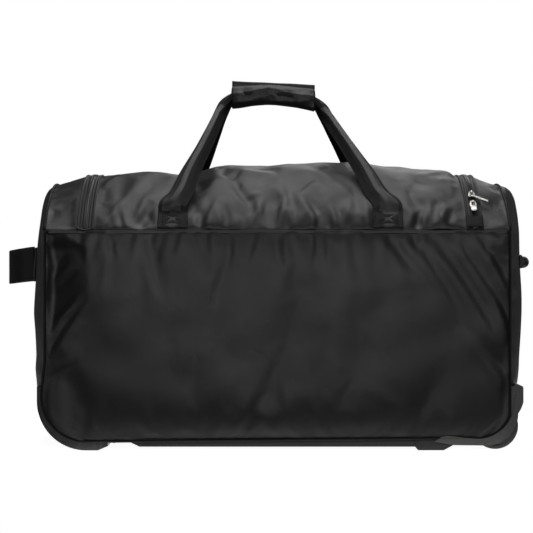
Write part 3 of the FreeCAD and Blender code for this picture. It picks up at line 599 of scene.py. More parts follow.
# Soft folds of the front panel, as folds() takes them: places are along the panel, and height above the ground.
FRONT_FOLDS = [
    (178, 300, 262, 172, 4.2, 9, 7, 0.7), (205, 300, 318, 128, 5.0, 10, 9, 0.7),
    (242, 298, 338, 138, 4.2, 9, 8, 0.7), (286, 292, 338, 190, 3.4, 8, 4, 0.6),
    (262, 172, 336, 84, 3.6, 10, -4, 0.6), (150, 298, 196, 226, 2.6, 9, 4, 0.5),
    (304, 230, 332, 150, 2.4, 6, 3, 0.5), (-252, 216, -305, 142, 4.4, 6, -3, 0.9),
    (-266, 254, -292, 232, 3.0, 6, 0, 0.9), (-262, 198, -300, 172, 2.4, 5, 0, 0.8),
    (-264, 126, -300, 108, 2.2, 5, 0, 0.8), (-252, 60, -268, 18, 3.6, 6, 0, 1.0),
    (-221, 290, -228, 214, 2.4, 8, 5, 0.6), (-170, 296, -150, 200, 2.4, 10, -4, 0.5),
    (-60, 298, -84, 214, 2.0, 9, 5, 0.5), (24, 100, 34, 30, 2.4, 12, 2, 0.6),
    (-20, 86, -46, 26, 2.0, 10, 2, 0.5), (44, 292, 20, 214, 1.8, 9, -4, 0.5),
    (96, 296, 118, 210, 2.0, 10, 4, 0.5), (118, 96, 208, 40, 2.2, 12, 4, 0.5),
]


def side_hollow(x, z):
    """The slack corner on the left of the front panel, where the cloth sinks behind a slanting fold."""
    edge = np.interp(z, (0.104, 0.126, 0.212, 0.276, 0.296), (-0.322, -0.304, -0.250, -0.252, -0.280))
    return -0.0100 * np.clip((edge + 0.006 - x) / 0.050, 0, 1) * ramp(x, -0.3090, -0.2975)


def face_panel(name, back):
    """The front or the back panel: crowned, gathered into its seams, and in front also folded and slack."""
    turn = np.linspace(0, math.pi / 2, 13)
    rows = np.concatenate([FLOOR + CORNERS[0][2] * (1 - np.cos(turn)), stations(0.079, (SEAM, 47))[1:]])
    share = np.linspace(0, 1, 131)[None, :]
    z = rows[:, None] + 0 * share
    left, right = outline_x(z, 0), outline_x(z, 1)
    x = left + share * (right - left)
    level = (z - FLOOR) / (SEAM - FLOOR)
    crown = 0.0105 * (1 - np.abs(2 * share - 1) ** 3.0) * (1 - np.abs(2 * level - 1) ** np.where(level < 0.5, 4.4, 3.2))
    ends = np.minimum(x - left, right - x)
    edge = np.minimum(ends, np.minimum(z - FLOOR, SEAM - z))
    relief = unevenness(x, z, 21 if back else 4, 0.05, 0.22, 0.0016)
    relief += 0.42 * gathers(x, SEAM - z, -0.300, 0.330, 31 if back else 8, 0.0165, 0.0030, (0.022, 0.062))
    relief += 0.6 * gathers(x, z - FLOOR, -0.230, 0.280, 33 if back else 9, 0.034, 0.0024, (0.02, 0.05))
    if not back:
        relief += folds(x, z, FRONT_FOLDS, 0.46, 0.85)
        relief += side_hollow(x, z)
    top_ease = ramp(SEAM - z, 0.0, 0.006) * ramp(edge + 0.02, 0.0, 0.02)
    free = np.where(SEAM - z < 0.03, np.minimum(top_ease, ramp(ends, 0, 0.012)), ramp(edge, 0.0, 0.012))
    y = HALF_DEPTH + (crown + relief * free)
    return sheet(name, (x, y if back else -y, z - sag(x, z)), (x, z), sewn=(edge_pins(*z.shape), 0.006, 0.5, 0.0032))


LEFT_BULGE = np.array([
    (0.016, 0), (0.035, 5), (0.060, 13), (0.088, 20), (0.107, 25), (0.186, 30), (0.240, 28), (0.290, 24), (0.336, 19),
    (0.355, 16), (0.364, 13), (0.369, 8), (0.372, 0)])
RIGHT_BULGE = np.array([
    (0.016, 0), (0.035, 6), (0.060, 17), (0.088, 27), (0.107, 30), (0.186, 32.5), (0.260, 31), (0.327, 28),
    (0.350, 24), (0.362, 19), (0.369, 12), (0.372, 0)])


def end_strip(name, side):
    """One D-shaped end of the body, from the crest of the barrel down round the lower corner."""
    index = 0 if side < 0 else 1
    corner_x, corner_z, radius = CORNERS[index]
    barrel_r, barrel_z, half = barrel(END_CREST)
    start = math.pi / 2 if side < 0 else math.asin((SEAM_RIGHT - corner_x) / radius)
    heights = np.concatenate([barrel_z + barrel_r * np.cos(np.linspace(0.012, half, 18)),
                              stations(SEAM, (HOUSING_Z, 34), (corner_z - radius * math.cos(start), 7))[1:]])
    turn = np.linspace(start, 0, 12)[1:]
    if side < 0:
        edges = (math.asin((corner_x - CUP_X) / radius), math.acos((corner_z - CUP_Z) / radius))
        turn = np.sort(np.append(turn, edges))[::-1]
    path = np.array([(float(outline_x(min(z, SEAM), index)), z) for z in heights]
                    + [(corner_x + side * radius * math.sin(a), corner_z - radius * math.cos(a)) for a in turn])
    outward = np.array([(side, 0.0)] * len(heights) + [(side * math.sin(a), -math.cos(a)) for a in turn])
    half_width = np.sqrt(np.maximum(barrel_r ** 2 - (path[:, 1:] - barrel_z) ** 2, 0))
    half_width = np.where(path[:, 1:] > SEAM, half_width, HALF_DEPTH)
    across = stations(-HALF_DEPTH, (-HOUSING_Y, 10), (-CUP_Y, 4), (CUP_Y, 29), (HOUSING_Y, 4),
                      (HALF_DEPTH, 10))[None, :] / HALF_DEPTH
    bulge = bulge_at(path[:, 1:], side)
    y = half_width * across
    run = running(path)[:, None] + 0 * y
    edge = (1 - np.abs(across)) * half_width
    relief = unevenness(y, run, 40 + side, 0.05, 0.2, 0.0014)
    relief += gathers(run, HALF_DEPTH - np.abs(y), 0.03, 0.34, 51 + side, 0.03, 0.0026, (0.02, 0.06))
    lift = bulge * (1 - np.abs(across) ** 2.2) + relief * ramp(edge, 0, 0.012) * (bulge > 0.002)
    x_mid, z_mid = ((path[1:, k] + path[:-1, k])[:, None] / 2 for k in (0, 1))
    y_mid = np.abs(across[:, 1:] + across[:, :-1]) / 2 * HALF_DEPTH
    if side < 0:
        gone = (x_mid < CUP_X) & (z_mid < CUP_Z) & (y_mid < CUP_Y)
    else:
        gone = (x_mid > HOUSING_X) & (z_mid < HOUSING_Z) & (y_mid > HOUSING_Y)
    return sheet(name, (path[:, :1] + outward[:, :1] * lift, y, path[:, 1:] + outward[:, 1:] * lift), (y, run), ~gone)


def bottom_strip():
    """The flat bottom between the lower corners, cut away for the wheel housings."""
    x = stations(CORNERS[0][0], (HOUSING_X, 70), (CORNERS[1][0], 5))
    y = stations(-HALF_DEPTH, (-HOUSING_Y, 8), (HOUSING_Y, 26), (HALF_DEPTH, 8))
    gone = ((x[1:] + x[:-1])[:, None] / 2 > HOUSING_X) & (np.abs(y[1:] + y[:-1])[None, :] / 2 > HOUSING_Y)
    x, y = np.meshgrid(x, y, indexing="ij")
    return sheet("bottom_cloth", (x, y, FLOOR + 0 * x), (y, x), ~gone, 0)


def top_strip(name, low, high, seed):
    """Fixed strip of the barrel between an end seam and a zip arm."""
    share, x = np.meshgrid(np.linspace(0, 1, 91), np.linspace(low, high, 15), indexing="ij")
    seam, zip_x = (-low, -ZIP_LEFT) if low < 0 else (high, ZIP_RIGHT)
    inset, run = seam - np.abs(x), share * 0.40
    relief = unevenness(x, run, seed, 0.04, 0.15, 0.0016) - 0.0006
    relief += gathers(run, inset, 0.01, 0.39, seed + 1, 0.034, 0.0020, (0.015, 0.04))
    relief *= ramp(np.abs(np.abs(x) - zip_x), TAPE_HALF, TAPE_HALF + 0.012) * ramp(inset, 0, 0.008)
    relief *= ramp(np.minimum(run, 0.40 - run), 0, 0.01)
    return sheet(name, on_barrel(x, share, relief), (x, run))


# Creases of the lid, as folds() takes them: places are along the bag, and distance up from the seam.
LID_FOLDS = [
    (-50, 100, -37, 66, -2.6, 4, 1, -0.9), (-37, 72, -22, 46, -2.4, 4, -1, -0.9),
    (44, 70, 72, 104, -2.8, 4, 2, -0.9), (-30, 58, -6, 74, 2.4, 6, 2, 0.5),
    (18, 84, 24, 4, 3.4, 7, 4, 0.7), (-6, 66, -13, 2, 3.4, 7, -3, 0.7),
    (-70, 44, -64, 2, 3.0, 6, 2, 0.8), (46, 58, 66, 4, 3.4, 6, 3, 0.8),
    (90, 46, 97, 2, 2.8, 5, 1, 0.8), (118, 60, 106, 4, 2.6, 6, 1, 0.7),
    (-90, 78, -58, 118, 2.2, 8, 3, 0.6), (70, 152, 134, 60, -4.6, 13, 5, -0.5),
    (-104, 124, -84, 84, -3.4, 12, 0, -0.4), (-40, 128, 14, 118, 2.6, 11, 6, 0.6),
    (-8, 150, 62, 162, 2.0, 10, -5, 0.5), (-176, 120, -212, 40, 3.2, 11, 6, 0.6),
    (-170, 60, -186, 6, 3.0, 7, 2, 0.8), (-206, 54, -224, 8, 2.6, 7, 2, 0.8),
    (-232, 96, -216, 150, 2.6, 9, 2, 0.6), (205, 40, 196, 4, 3.2, 6, 1, 0.8),
    (226, 56, 214, 4, 3.4, 7, 2, 0.8), (250, 48, 236, 4, 3.0, 6, 2, 0.8),
    (262, 66, 204, 78, 4.4, 14, 8, 0.7), (268, 118, 210, 136, 3.4, 12, 6, 0.7),
    (262, 152, 226, 128, -2.6, 6, 2, -0.6),
]


def lid_cloth():
    """The lid: gathered into its seams, creased, and calm beside the zip and below the straps."""
    share, x = np.meshgrid(np.linspace(0.0015, 0.9985, 87), np.linspace(ZIP_LEFT + ZIP_GAP, ZIP_RIGHT - ZIP_GAP, 123),
                           indexing="ij")
    radius, _, half = barrel(crest_at(x))
    run, back_run = share * 2 * half * radius, (1 - share) * 2 * half * radius
    relief = unevenness(x, run, 71, 0.035, 0.16, 0.0022)
    relief += gathers(x, run, -0.235, 0.272, 72, 0.0185, 0.0026, (0.026, 0.070))
    relief += 0.7 * gathers(x, back_run, -0.235, 0.272, 74, 0.024, 0.0026, (0.03, 0.07))
    relief += folds(x, run, LID_FOLDS, 0.8)
    zips = np.minimum(x - ZIP_LEFT, ZIP_RIGHT - x)
    calm = ramp(zips, TAPE_HALF, TAPE_HALF + 0.014) * ramp(run, 0.0, 0.007)
    calm *= ramp(back_run, TAPE_HALF, TAPE_HALF + 0.012)
    for low, high in STRAPS.values():
        under = ramp(x, low - 0.007, low) * ramp(-x, -high - 0.007, -high)
        calm *= 1 - 0.93 * under * (1 - ramp(np.minimum(run, back_run), 0.030, 0.044))
    held = np.maximum(np.clip(1 - calm * 1.6, 0, 1).ravel(), edge_pins(*x.shape))
    return sheet("lid_cloth", on_barrel(x, share, relief * calm), (x, run), sewn=(held, 0.010, 0.6, 0.0045))


def front_hem():
    """Folded seam allowance that closes the front panel below the lid."""
    x = np.linspace(SEAM_LEFT + 0.001, SEAM_RIGHT - 0.001, 90)
    path = np.stack([x, np.full_like(x, -HALF_DEPTH), 0.3004 + unevenness(x, 0 * x, 83, 0.03, 0.1, 0.0003)], axis=1)
    section = np.array([(-2.6, -0.6), (2.4, -0.6), (2.7, 0.5), (2.2, 1.3), (0.6, 1.0), (-1.4, 1.5), (-2.6, 1.3)]) * MM
    return sweep("front_hem", path, (0, 0, 1), (0, -1, 0), section, BAG)


def piping():
    """Corded edges: round the outline of the front and back panels, and over the barrel at both ends."""
    cords = []
    turn = np.linspace(0, math.pi / 2, 16)
    for side in (-1, 1):
        path = []
        for index, inset in ((0, 0.0012), (1, -0.0012)):
            x, centre, radius = CORNERS[index]
            low = FLOOR + 0.0012 + (radius - 0.0012) * (1 - np.cos(turn))
            rise = np.concatenate([low, np.linspace(low[-1], SEAM, 32)[1:]])
            edge = [(float(outline_x(z, index)) + inset, z) for z in rise]
            path += edge[::-1] if index == 0 else edge
        cords.append(tube("cord", [(x, side * (HALF_DEPTH + 0.0012), z - float(sag(x, z))) for x, z in path],
                          1.9 * MM, BINDING, 8))
    for seam in (SEAM_LEFT, SEAM_RIGHT):
        cords.append(tube("cord", on_barrel(seam, np.linspace(0, 1, 60), 0.0008, END_CREST), 1.9 * MM, BINDING, 8))
    return join("edge_piping", cords)


def floor_lining():
    """Lining that covers the stiffening board, the wheel housings and the trolley cup inside."""
    x, y = np.meshgrid(np.linspace(-0.296, 0.328, 105), np.linspace(-0.166, 0.166, 57), indexing="ij")
    edge = np.minimum(np.minimum(x + 0.296, 0.328 - x), 0.166 - np.abs(y))
    z = 0.0462 + unevenness(x, y, 111, 0.03, 0.12, 0.0009) + 0.005 * (1 - ramp(edge, 0, 0.02))
    wells = ramp(x, HOUSING_X - 0.010, HOUSING_X - 0.003) * ramp(np.abs(y), HOUSING_Y - 0.010, HOUSING_Y - 0.003)
    cup = ramp(-x, -CUP_X - 0.010, -CUP_X - 0.003) * ramp(-np.abs(y), -CUP_Y - 0.010, -CUP_Y - 0.003)
    z = z + (HOUSING_Z + 0.003 - z) * wells + (CUP_Z + 0.003 - z) * cup
    return finish_cloth(grid_piece("floor_lining", (x, y, z), (x, y), LINING), 1.0 * MM)


def soft_body():
    for piece, *nodes in (
            (face_panel("front_cloth", False), "front_panel"),
            (face_panel("back_cloth", True), "back_panel"),
            (end_strip("left_end_cloth", -1), "left_end_panel"),
            (end_strip("right_end_cloth", 1), "right_end_panel"),
            (bottom_strip(), "bottom_panel"),
            (top_strip("top_left_cloth", SEAM_LEFT, ZIP_LEFT - ZIP_GAP, 81), "top_left_section"),
            (top_strip("top_right_cloth", ZIP_RIGHT + ZIP_GAP, SEAM_RIGHT, 91), "top_right_section"),
            (front_hem(),), (floor_lining(),), (piping(), "side_piping")):
        place(piece, "root", "bag_fabric", *nodes)
    hinge_blend(stand_for(lid_cloth(), "bag_fabric", "lid_panel"))


def hinge_blend(piece):
    """Bake the piece's placement into its mesh."""
    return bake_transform(piece)


# ---------------------------------------------------------------- zip

TAPE_SECTION = np.array([
    (0.3, 0.1), (0.35, 1.45), (3.0, 1.5), (3.5, 1.05), (5.0, 1.1), (5.3, 1.8), (6.3, 1.85), (6.7, 1.1), (8.6, 1.1),
    (8.9, 2.2), (10.0, 2.5), (11.0, 2.2), (11.25, 1.0), (11.25, -0.2), (0.3, -0.2)]) * MM


def coil(name, path, across, up, shift):
    """Zip coil elements in a row along a path."""
    pitch, half = 1.7 * MM, 0.55 * MM
    profile = np.array([(0.15, 1.5), (0.15, 2.6), (0.8, 3.0), (2.2, 2.9), (2.8, 2.3), (2.8, 1.5)]) * MM
    n = len(profile)
    steps = running(path)
    verts, faces = [], []
    for start in np.arange(pitch * (0.5 + shift), steps[-1] - pitch, pitch):
        centre, wide, tall, ahead = (along_line(start, steps, table) for table in (path, across, up, tangents(path)))
        base = len(verts)
        for offset in (-half, half):
            verts += [centre + wide * w + tall * h + ahead * offset for w, h in profile]
        faces += [(base + i, base + (i + 1) % n, base + n + (i + 1) % n, base + n + i) for i in range(n)]
        faces += [tuple(base + i for i in reversed(range(n))), tuple(base + n + i for i in range(n))]
    return new_piece(name, verts, faces, COIL, smooth=False)


def zip_arm(centre, side):
    """Path and axes of a tape half on one arm: side is -1 towards the left, 1 towards the right."""
    share = np.linspace(0, 1, 121)
    return on_barrel(centre, share, 0, ARM_CREST), (side, 0, 0), barrel_normal(centre, share, ARM_CREST)


def zip_back(side):
    """Path and axes along the far run: side is -1 below the teeth and 1 above them."""
    x = np.linspace(ZIP_LEFT - ZIP_GAP, ZIP_RIGHT + ZIP_GAP, 110)
    path, normal = on_barrel(x, 1.0), barrel_normal(x, 0.98)
    return (path, (0, 0, -1), (0, 1, 0)) if side < 0 else (path, np.cross((1, 0, 0), normal), normal)


def zipper():
    """Tape, coil and stitches of the body's half of the zip, and of the lid's."""
    for body, side in (("body", -1), ("lid", 1)):
        tapes, coils, lines = [], [], []
        for path, across, up in (zip_arm(ZIP_LEFT, side), zip_arm(ZIP_RIGHT, -side), zip_back(side)):
            across, up = (np.broadcast_to(np.asarray(axis, float), path.shape) for axis in (across, up))
            tapes.append(sweep("tape", path, across, up, TAPE_SECTION, TAPE))
            coils.append(coil("coil", path, across, up, 0.5 if side < 0 else 0.0))
            lines += [(path + across * out * MM + up * lift * MM, up) for out, lift in ((7.7, 1.1), (4.2, 1.05))]
        for piece, slot, *nodes in ((join(f"zip_tape_{body}", tapes), "zip_tape", f"zipper_tape_{body}"),
                                    (join(f"zip_coil_{body}", coils), "zip_coil", f"zipper_teeth_{body}"),
                                    (stitches(f"zip_stitches_{body}", lines, THREAD), "webbing")):
            if side < 0:
                place(piece, "root", slot, *nodes)
            else:
                hinge_blend(stand_for(piece, slot, *nodes))


def garage():
    """Padded patch over the foot of the right zip arm, where the lower slider parks."""
    half, inset = 0.0122, 0.0104
    low, high = share_at(0.3052, ARM_CREST), share_at(0.3232, ARM_CREST)
    rise, wide = np.meshgrid(np.linspace(-1, 1, 15), np.linspace(-1, 1, 15), indexing="ij")
    x, share = ZIP_RIGHT + wide * half, (low + high) / 2 + rise * (high - low) / 2
    puff = (1 - wide ** 6) * (1 - rise ** 6)
    patch = sheet("zip_garage", on_barrel(x, share, (2.6 + 1.3 * puff) * MM, ARM_CREST), (x, share * 0.4),
                  material=BINDING, wall=1.2 * MM, lining=None)
    hinge_blend(stand_for(patch, "zip_tape", "zipper_garage"))
    upward, across = np.linspace(low + 0.004, high - 0.004, 9), np.linspace(ZIP_RIGHT - inset, ZIP_RIGHT + inset, 9)
    rows = [(on_barrel(at, upward, 3.6 * MM, ARM_CREST), barrel_normal(at, low, ARM_CREST))
            for at in (across[0], across[-1])]
    rows += [(on_barrel(across, at, 3.7 * MM, ARM_CREST), barrel_normal(across, at, ARM_CREST))
             for at in (low + 0.005, high - 0.005)]
    place(stitches("zip_garage_stitches", rows, THREAD), "lid", "webbing")


def zip_foot_lip():
    """Curved fold of cloth under the foot of the left zip arm."""
    x = np.linspace(-0.014, 0.012, 15)
    hang = 0.0055 * np.cos(x / 0.014 * 1.35)
    path = np.stack([ZIP_LEFT + x, np.full(15, -0.1785), 0.3085 - hang + x * -0.05], axis=1)
    girth = 1.5 * MM * np.sqrt(np.clip(1 - (np.linspace(-1, 1, 15)) ** 6, 0.08, 1))
    section = circle(10) * girth[:, None, None]
    place(sweep("zip_foot_lip", path, (0, 0, 1), (0, -1, 0), section, BAG), "root", "bag_fabric")


def plate(name, outline, low, high, bevel):
    """A flat plate with rounded edges from an outline in millimetres."""
    mesh = bmesh.new()
    ring = [mesh.verts.new((u * MM, v * MM, low * MM)) for u, v in outline]
    face = mesh.faces.new(ring)
    made = bmesh.ops.extrude_face_region(mesh, geom=[face])
    bmesh.ops.translate(mesh, vec=(0, 0, (high - low) * MM),
                        verts=[v for v in made["geom"] if isinstance(v, bmesh.types.BMVert)])
    bmesh.ops.recalc_face_normals(mesh, faces=mesh.faces)
    bmesh.ops.bevel(mesh, geom=list(mesh.edges), offset=bevel * MM, segments=2, profile=0.6, affect="EDGES")
    data = bpy.data.meshes.new(name)
    mesh.to_mesh(data)
    mesh.free()
    data.polygons.foreach_set("use_smooth", [True] * len(data.polygons))
    data.materials.append(NICKEL)
    return link(name, data)


def ring_bar(name, outline, level, width, height):
    """A closed flat bar along an outline in millimetres."""
    path = np.array([(u, v, level) for u, v in outline + outline[:1]]) * MM
    along = tangents(path)
    along[0] = along[-1] = unit(path[1] - path[-2])
    section = np.array([(-0.5, -0.3), (-0.3, -0.5), (0.3, -0.5), (0.5, -0.3), (0.5, 0.3), (0.3, 0.5), (-0.3, 0.5),
                        (-0.5, 0.3)]) * (width, height) * MM
    return sweep(name, path, np.cross(along, (0, 0, 1)), (0, 0, 1), section, NICKEL, caps=False)


def slider_parts(name, degrees, length, width, skew):
    """Slider body and its pull, standing on the right zip arm at an angle above the horizontal."""
    body = plate("body", [(-5, -7), (5, -7), (5.2, -0.5), (3.2, 7), (-3.2, 7), (-5.2, -0.5)], 0.1, 2.6, 0.7)
    arch_path = smooth_line([(0, -4.6, 2.2), (0, -4.2, 4.8), (0, -1.6, 6.2), (0, 1.6, 6.2), (0, 4.2, 4.8),
                             (0, 4.6, 2.2)], 22) * MM
    arch = sweep("arch", arch_path, (1, 0, 0), np.cross((1, 0, 0), tangents(arch_path)),
                 np.array([(-1.6, -0.45), (1.6, -0.45), (1.7, 0), (1.6, 0.55), (-1.6, 0.55), (-1.7, 0)]) * MM, NICKEL)
    slider = join(f"slider_{name}_body", [body, arch])
    eye = ring_bar("eye", [(-2.9, 1.0), (-2.9, -5.6), (-1.8, -7.2), (1.8, -7.2), (2.9, -5.6), (2.9, 1.0), (1.9, 1.9),
                           (-1.9, 1.9)], 3.75, 1.5, 1.3)
    half = width / 2
    tab = plate("tab", [(-half + 1, 1.5), (half - 1, 1.5), (half, 0), (half, -length + 1.4), (half - 1.4, -length),
                        (-half + 1.4, -length), (-half, -length + 1.4), (-half, 0)], 3.1, 4.4, 0.45)
    rim = ring_bar("rim", [(-half + 1, -2), (-half + 1, -length + 2), (half - 1, -length + 2), (half - 1, -2)],
                   4.4, 0.7, 0.7)
    for piece in (tab, rim):
        piece.data.transform(Matrix.Translation((0, -7.0 * MM, 0)) @ Matrix.Rotation(math.radians(skew), 4, "Z"))
    pull = join(f"slider_{name}_tab", [eye, tab, rim])
    radius, centre, _ = barrel(ARM_CREST)
    reach = radius + 3.3 * MM
    turn = math.radians(degrees)
    to_zip = (Matrix.Translation((ZIP_RIGHT, -reach * math.cos(turn), centre + reach * math.sin(turn)))
              @ Matrix.Rotation(math.pi / 2 - turn, 4, "X"))
    slider.data.transform(to_zip)
    pull.data.transform(to_zip)
    return slider, pull


def sliders():
    for name, *sizes in (("upper", 57.9, 27, 5.0, 52), ("lower", 51.8, 11.5, 8.5, 0)):
        slider, pull = slider_parts(name, *sizes)
        place(slider, f"slider_{name}", "slider_metal", f"zipper_slider_{name}")
        place(pull, f"pull_{name}", "slider_metal", f"zipper_pull_{name}")


# ---------------------------------------------------------------- carry handles

def folded_section(width, angle, shares):
    """Outer line of a strap folded lengthwise: its middle stands out and its inner edge turns to the front."""
    fine = np.linspace(-1, 1, 201)
    tilt = angle * np.interp(fine, (-1, -0.76, -0.70, -0.24, -0.20, 0.13, 0.17, 0.56, 0.60, 1),
                             (-0.75, -0.75, -1.1, -1.1, -0.2, 0.2, 1.2, 1.2, 0.55, 0.55))
    step = width / 2 * (fine[1] - fine[0])
    lines = [np.concatenate([[0], np.cumsum(way[1:] * step)]) for way in (np.cos(tilt), -np.sin(tilt))]
    at = np.stack([np.interp(shares, fine, line - np.interp(0, fine, line)) for line in lines], axis=1)
    lean = np.interp(shares, fine, tilt)
    return at, np.stack([np.sin(lean), np.cos(lean)], axis=1)


STRAP_SHARES = np.array([-1, -0.97, -0.88, -0.79, -0.74, -0.70, -0.47, -0.24, -0.20, -0.03, 0.13, 0.17, 0.36, 0.56,
                         0.60, 0.79, 0.88, 0.97, 1])
# Shares beyond which the strap's edge strips have binding. They take the darker binding material, which is partly real
# binding and partly painted shade along the strap's edges; the strip on the positive side is wider to take in more
# shade.
BOUND_AND_SHADED = (-0.76, 0.58)


def strap_thickness(shares):
    """Half thickness across a strap whose edges have binding."""
    size = np.where((shares < BOUND_AND_SHADED[0]) | (shares > BOUND_AND_SHADED[1]), 1.55, 1.0)
    return np.where(np.abs(shares) > 0.98, 0.7, size) * MM


def strap_path(side):
    """Centre line, width axis, outward axis, width and fold of one carry handle, patch to patch."""
    def leg(label, top_x, way):
        low = sum(STRAPS[label]) / 2
        crest, bow = float(crest_at(low)), 0.0025 * way
        points = [on_barrel(low, share_at(z, crest), 1.7 * MM) for z in (0.3050, 0.3130, 0.3210, 0.3280)]
        points[-1][1] -= 0.0006
        points.append(np.array((low + bow * 0.1, -0.1520, 0.3400)))
        base, head = np.array((low, -ROOT_Y, ROOT_Z)), np.array((top_x, -0.006, 0.490))
        for t, out in ((0.18, 0.5), (0.36, 0.9), (0.56, 1.0), (0.76, 0.7), (0.92, 0.25)):
            points.append(base + (head - base) * t + np.array((bow, -0.0045, -0.001)) * out)
        points[-4][0] += 0.0012 * way
        return points

    bridge = [(-0.0500, -0.0060, 0.4975), (-0.0300, -0.0070, 0.5010), (0.0100, -0.0075, 0.5030),
              (0.0500, -0.0070, 0.5010), (0.0700, -0.0060, 0.4975)]
    path = smooth_line(np.vstack([leg("left", -0.0600, -1), bridge, leg("right", 0.0800, 1)[::-1]]), 210)
    along = tangents(path)
    x = path[:, 0]
    turn = ramp(path[:, 2], 0.468, 0.497)[:, None]
    flat = np.array([(1.0, 0, 0)]) * np.where(x < GRIP_MIDDLE, 1.0, -1.0)[:, None]
    across = flat * (1 - turn) + np.array([(0, -0.25, -0.97)]) * turn
    across = unit(across - along * np.sum(across * along, axis=1, keepdims=True))
    outward = np.cross(across, along)
    outward = unit(np.where(outward[:, 1:2] > 0, -outward, outward))
    width = 0.0405 - 0.0045 * ramp(path[:, 2], 0.345, 0.485)
    angle = np.radians(np.interp(path[:, 2], (0.330, 0.352, 0.375, 0.400, 0.425, 0.450, 0.470),
                                 (3, 40, 50, 58, 64, 69, 72)))
    wrap = ramp(path[:, 2], 0.485, 0.497)
    angle = angle * (1 - wrap) + np.radians(80) * wrap
    if side > 0:
        path, across, outward = path * MIRROR, across * MIRROR, outward * MIRROR
    return tilt_grip(path), across, outward, width, angle


def tilt_grip(points):
    """The hung handles lean: the grip's left end stands a little higher than its right."""
    points = np.array(points, float)
    points[..., 2] -= 0.045 * (points[..., 0] - GRIP_MIDDLE) * ramp(points[..., 2], 0.42, 0.49)
    return points


def tilted(piece):
    return set_points(piece, tilt_grip(points_of(piece)))


def carry_strap(name, side):
    """One folded strap with edge binding, and its rows of thread. The darker binding on its edge strips is partly real
    binding and partly painted shade along the edges. Above 0.481 m it is painted shade where the strap twists into the
    wrap.
    """
    path, across, outward, width, angle = strap_path(side)
    half = strap_thickness(STRAP_SHARES)[:, None]
    sections, rows = [], {share: ([], []) for share in (-0.93, -0.82, 0.66, 0.93)}
    for i in range(len(path)):
        at, normal = folded_section(width[i], angle[i], STRAP_SHARES)
        shift = np.array([0, -at[:, 1].mean()])
        sections.append(np.vstack([at + shift + normal * half, (at + shift - normal * half)[::-1]]))
        for share, (points, normals) in rows.items():
            spot, lean = folded_section(width[i], angle[i], np.array([share]))
            spot = spot[0] + shift + lean[0] * 1.5 * MM
            points.append(path[i] + across[i] * spot[0] + outward[i] * spot[1])
            normals.append(across[i] * lean[0][0] + outward[i] * lean[0][1])
    strap = sweep(name, path, across, outward, np.array(sections), WEBBING)
    strap.data.materials.append(BINDING)
    edges = np.concatenate([STRAP_SHARES, STRAP_SHARES[::-1]])
    columns = len(edges)
    middle = (edges + np.roll(edges, -1)) / 2
    # Edge strips that take the darker binding: partly real binding, partly painted shade along the edges.
    bound_and_shaded = (middle < BOUND_AND_SHADED[0]) | (middle > BOUND_AND_SHADED[1])
    for index, polygon in enumerate(strap.data.polygons):
        # Above 0.481 m every face takes the darker binding as painted shade where the strap twists into the wrap.
        if index < (len(path) - 1) * columns and (bound_and_shaded[index % columns] or path[index // columns][2] > 0.481):
            polygon.material_index = 1
    fix_normals(strap)
    strap.data.set_sharp_from_angle(angle=math.radians(24))
    return strap, stitches(f"{name}_stitches", list(rows.values()), THREAD)


def box_rows(count, wide, tall):
    """Rows of a box stitch with its cross, as shares of a patch's half width and half height."""
    walk = np.linspace(-1, 1, count)
    level, upright = (wide * walk, 0 * walk), (0 * walk, tall * walk)
    return [(level[0], level[1] - tall), (level[0], level[1] + tall), (upright[0] - wide, upright[1]),
            (upright[0] + wide, upright[1]), (level[0], upright[1]), (level[0], -upright[1])]


def patch_piece(name, low, high, side):
    """Box-stitched square that holds a strap's end to the lid, with its rows of thread."""
    wide, tall = 0.74, 0.66
    middle, half = (low + high) / 2, (high - low) / 2 + 0.0006
    crest = float(crest_at(middle))
    bottom, top = share_at(0.3046 if side < 0 else 0.3160, crest), share_at(PATCH_TOP, crest)

    def at(u, v):
        return middle + u * half, (bottom + top) / 2 + v * (top - bottom) / 2

    def spot(u, v, lift):
        spots, normals = on_barrel(*at(u, v), lift), barrel_normal(*at(u, v))
        return (spots * MIRROR, normals * MIRROR) if side > 0 else (spots, normals)

    v, u = np.meshgrid(np.linspace(-1, 1, 19), np.linspace(-1, 1, 27), indexing="ij")
    sewn = np.minimum(np.abs(np.abs(u) - wide) / 0.10, np.abs(np.abs(v) - tall) / 0.14)
    cross = np.abs(np.abs(u / wide) - np.abs(v / tall)) / 0.16
    sewn = np.where((np.abs(u) < wide) & (np.abs(v) < tall), np.minimum(sewn, cross), sewn)
    lift = (2.7 + 0.9 * (1 - np.exp(-sewn ** 2)) - 0.9 * np.maximum(np.abs(u), np.abs(v)) ** 14) * MM
    x, share = at(u, v)
    patch = sheet(name, spot(u, v, lift)[0], (x, share * 0.4), material=BINDING, wall=1.3 * MM, lining=None)
    walk = np.linspace(-1, 1, 15)
    rows = box_rows(15, wide, tall) + [(0.92 * walk, 0.88 + 0 * walk), (-0.90 + 0 * walk, 0.95 * walk),
                                       (0.90 + 0 * walk, 0.95 * walk)]
    return patch, stitches(f"{name}_stitches", [spot(u, v, 2.9 * MM) for u, v in rows], THREAD)


WRAP_X = np.array([-52, -38, -22, -8, 2, 14, 28, 45, 60, 72]) * MM
WRAP_LOW = np.array([481.5, 483.5, 487, 489, 490, 490, 489, 487.5, 485, 482.5]) * MM
WRAP_RIDGE = np.array([504.5, 505.5, 508, 512.5, 515, 513.5, 509, 507, 506.5, 506.5]) * MM
WRAP_TOP = np.array([514.5, 516, 517.5, 519, 519.5, 519.5, 519, 518, 517.2, 516.5]) * MM


def along_x(x):
    return np.stack([x, 0 * x, 0 * x], axis=1)


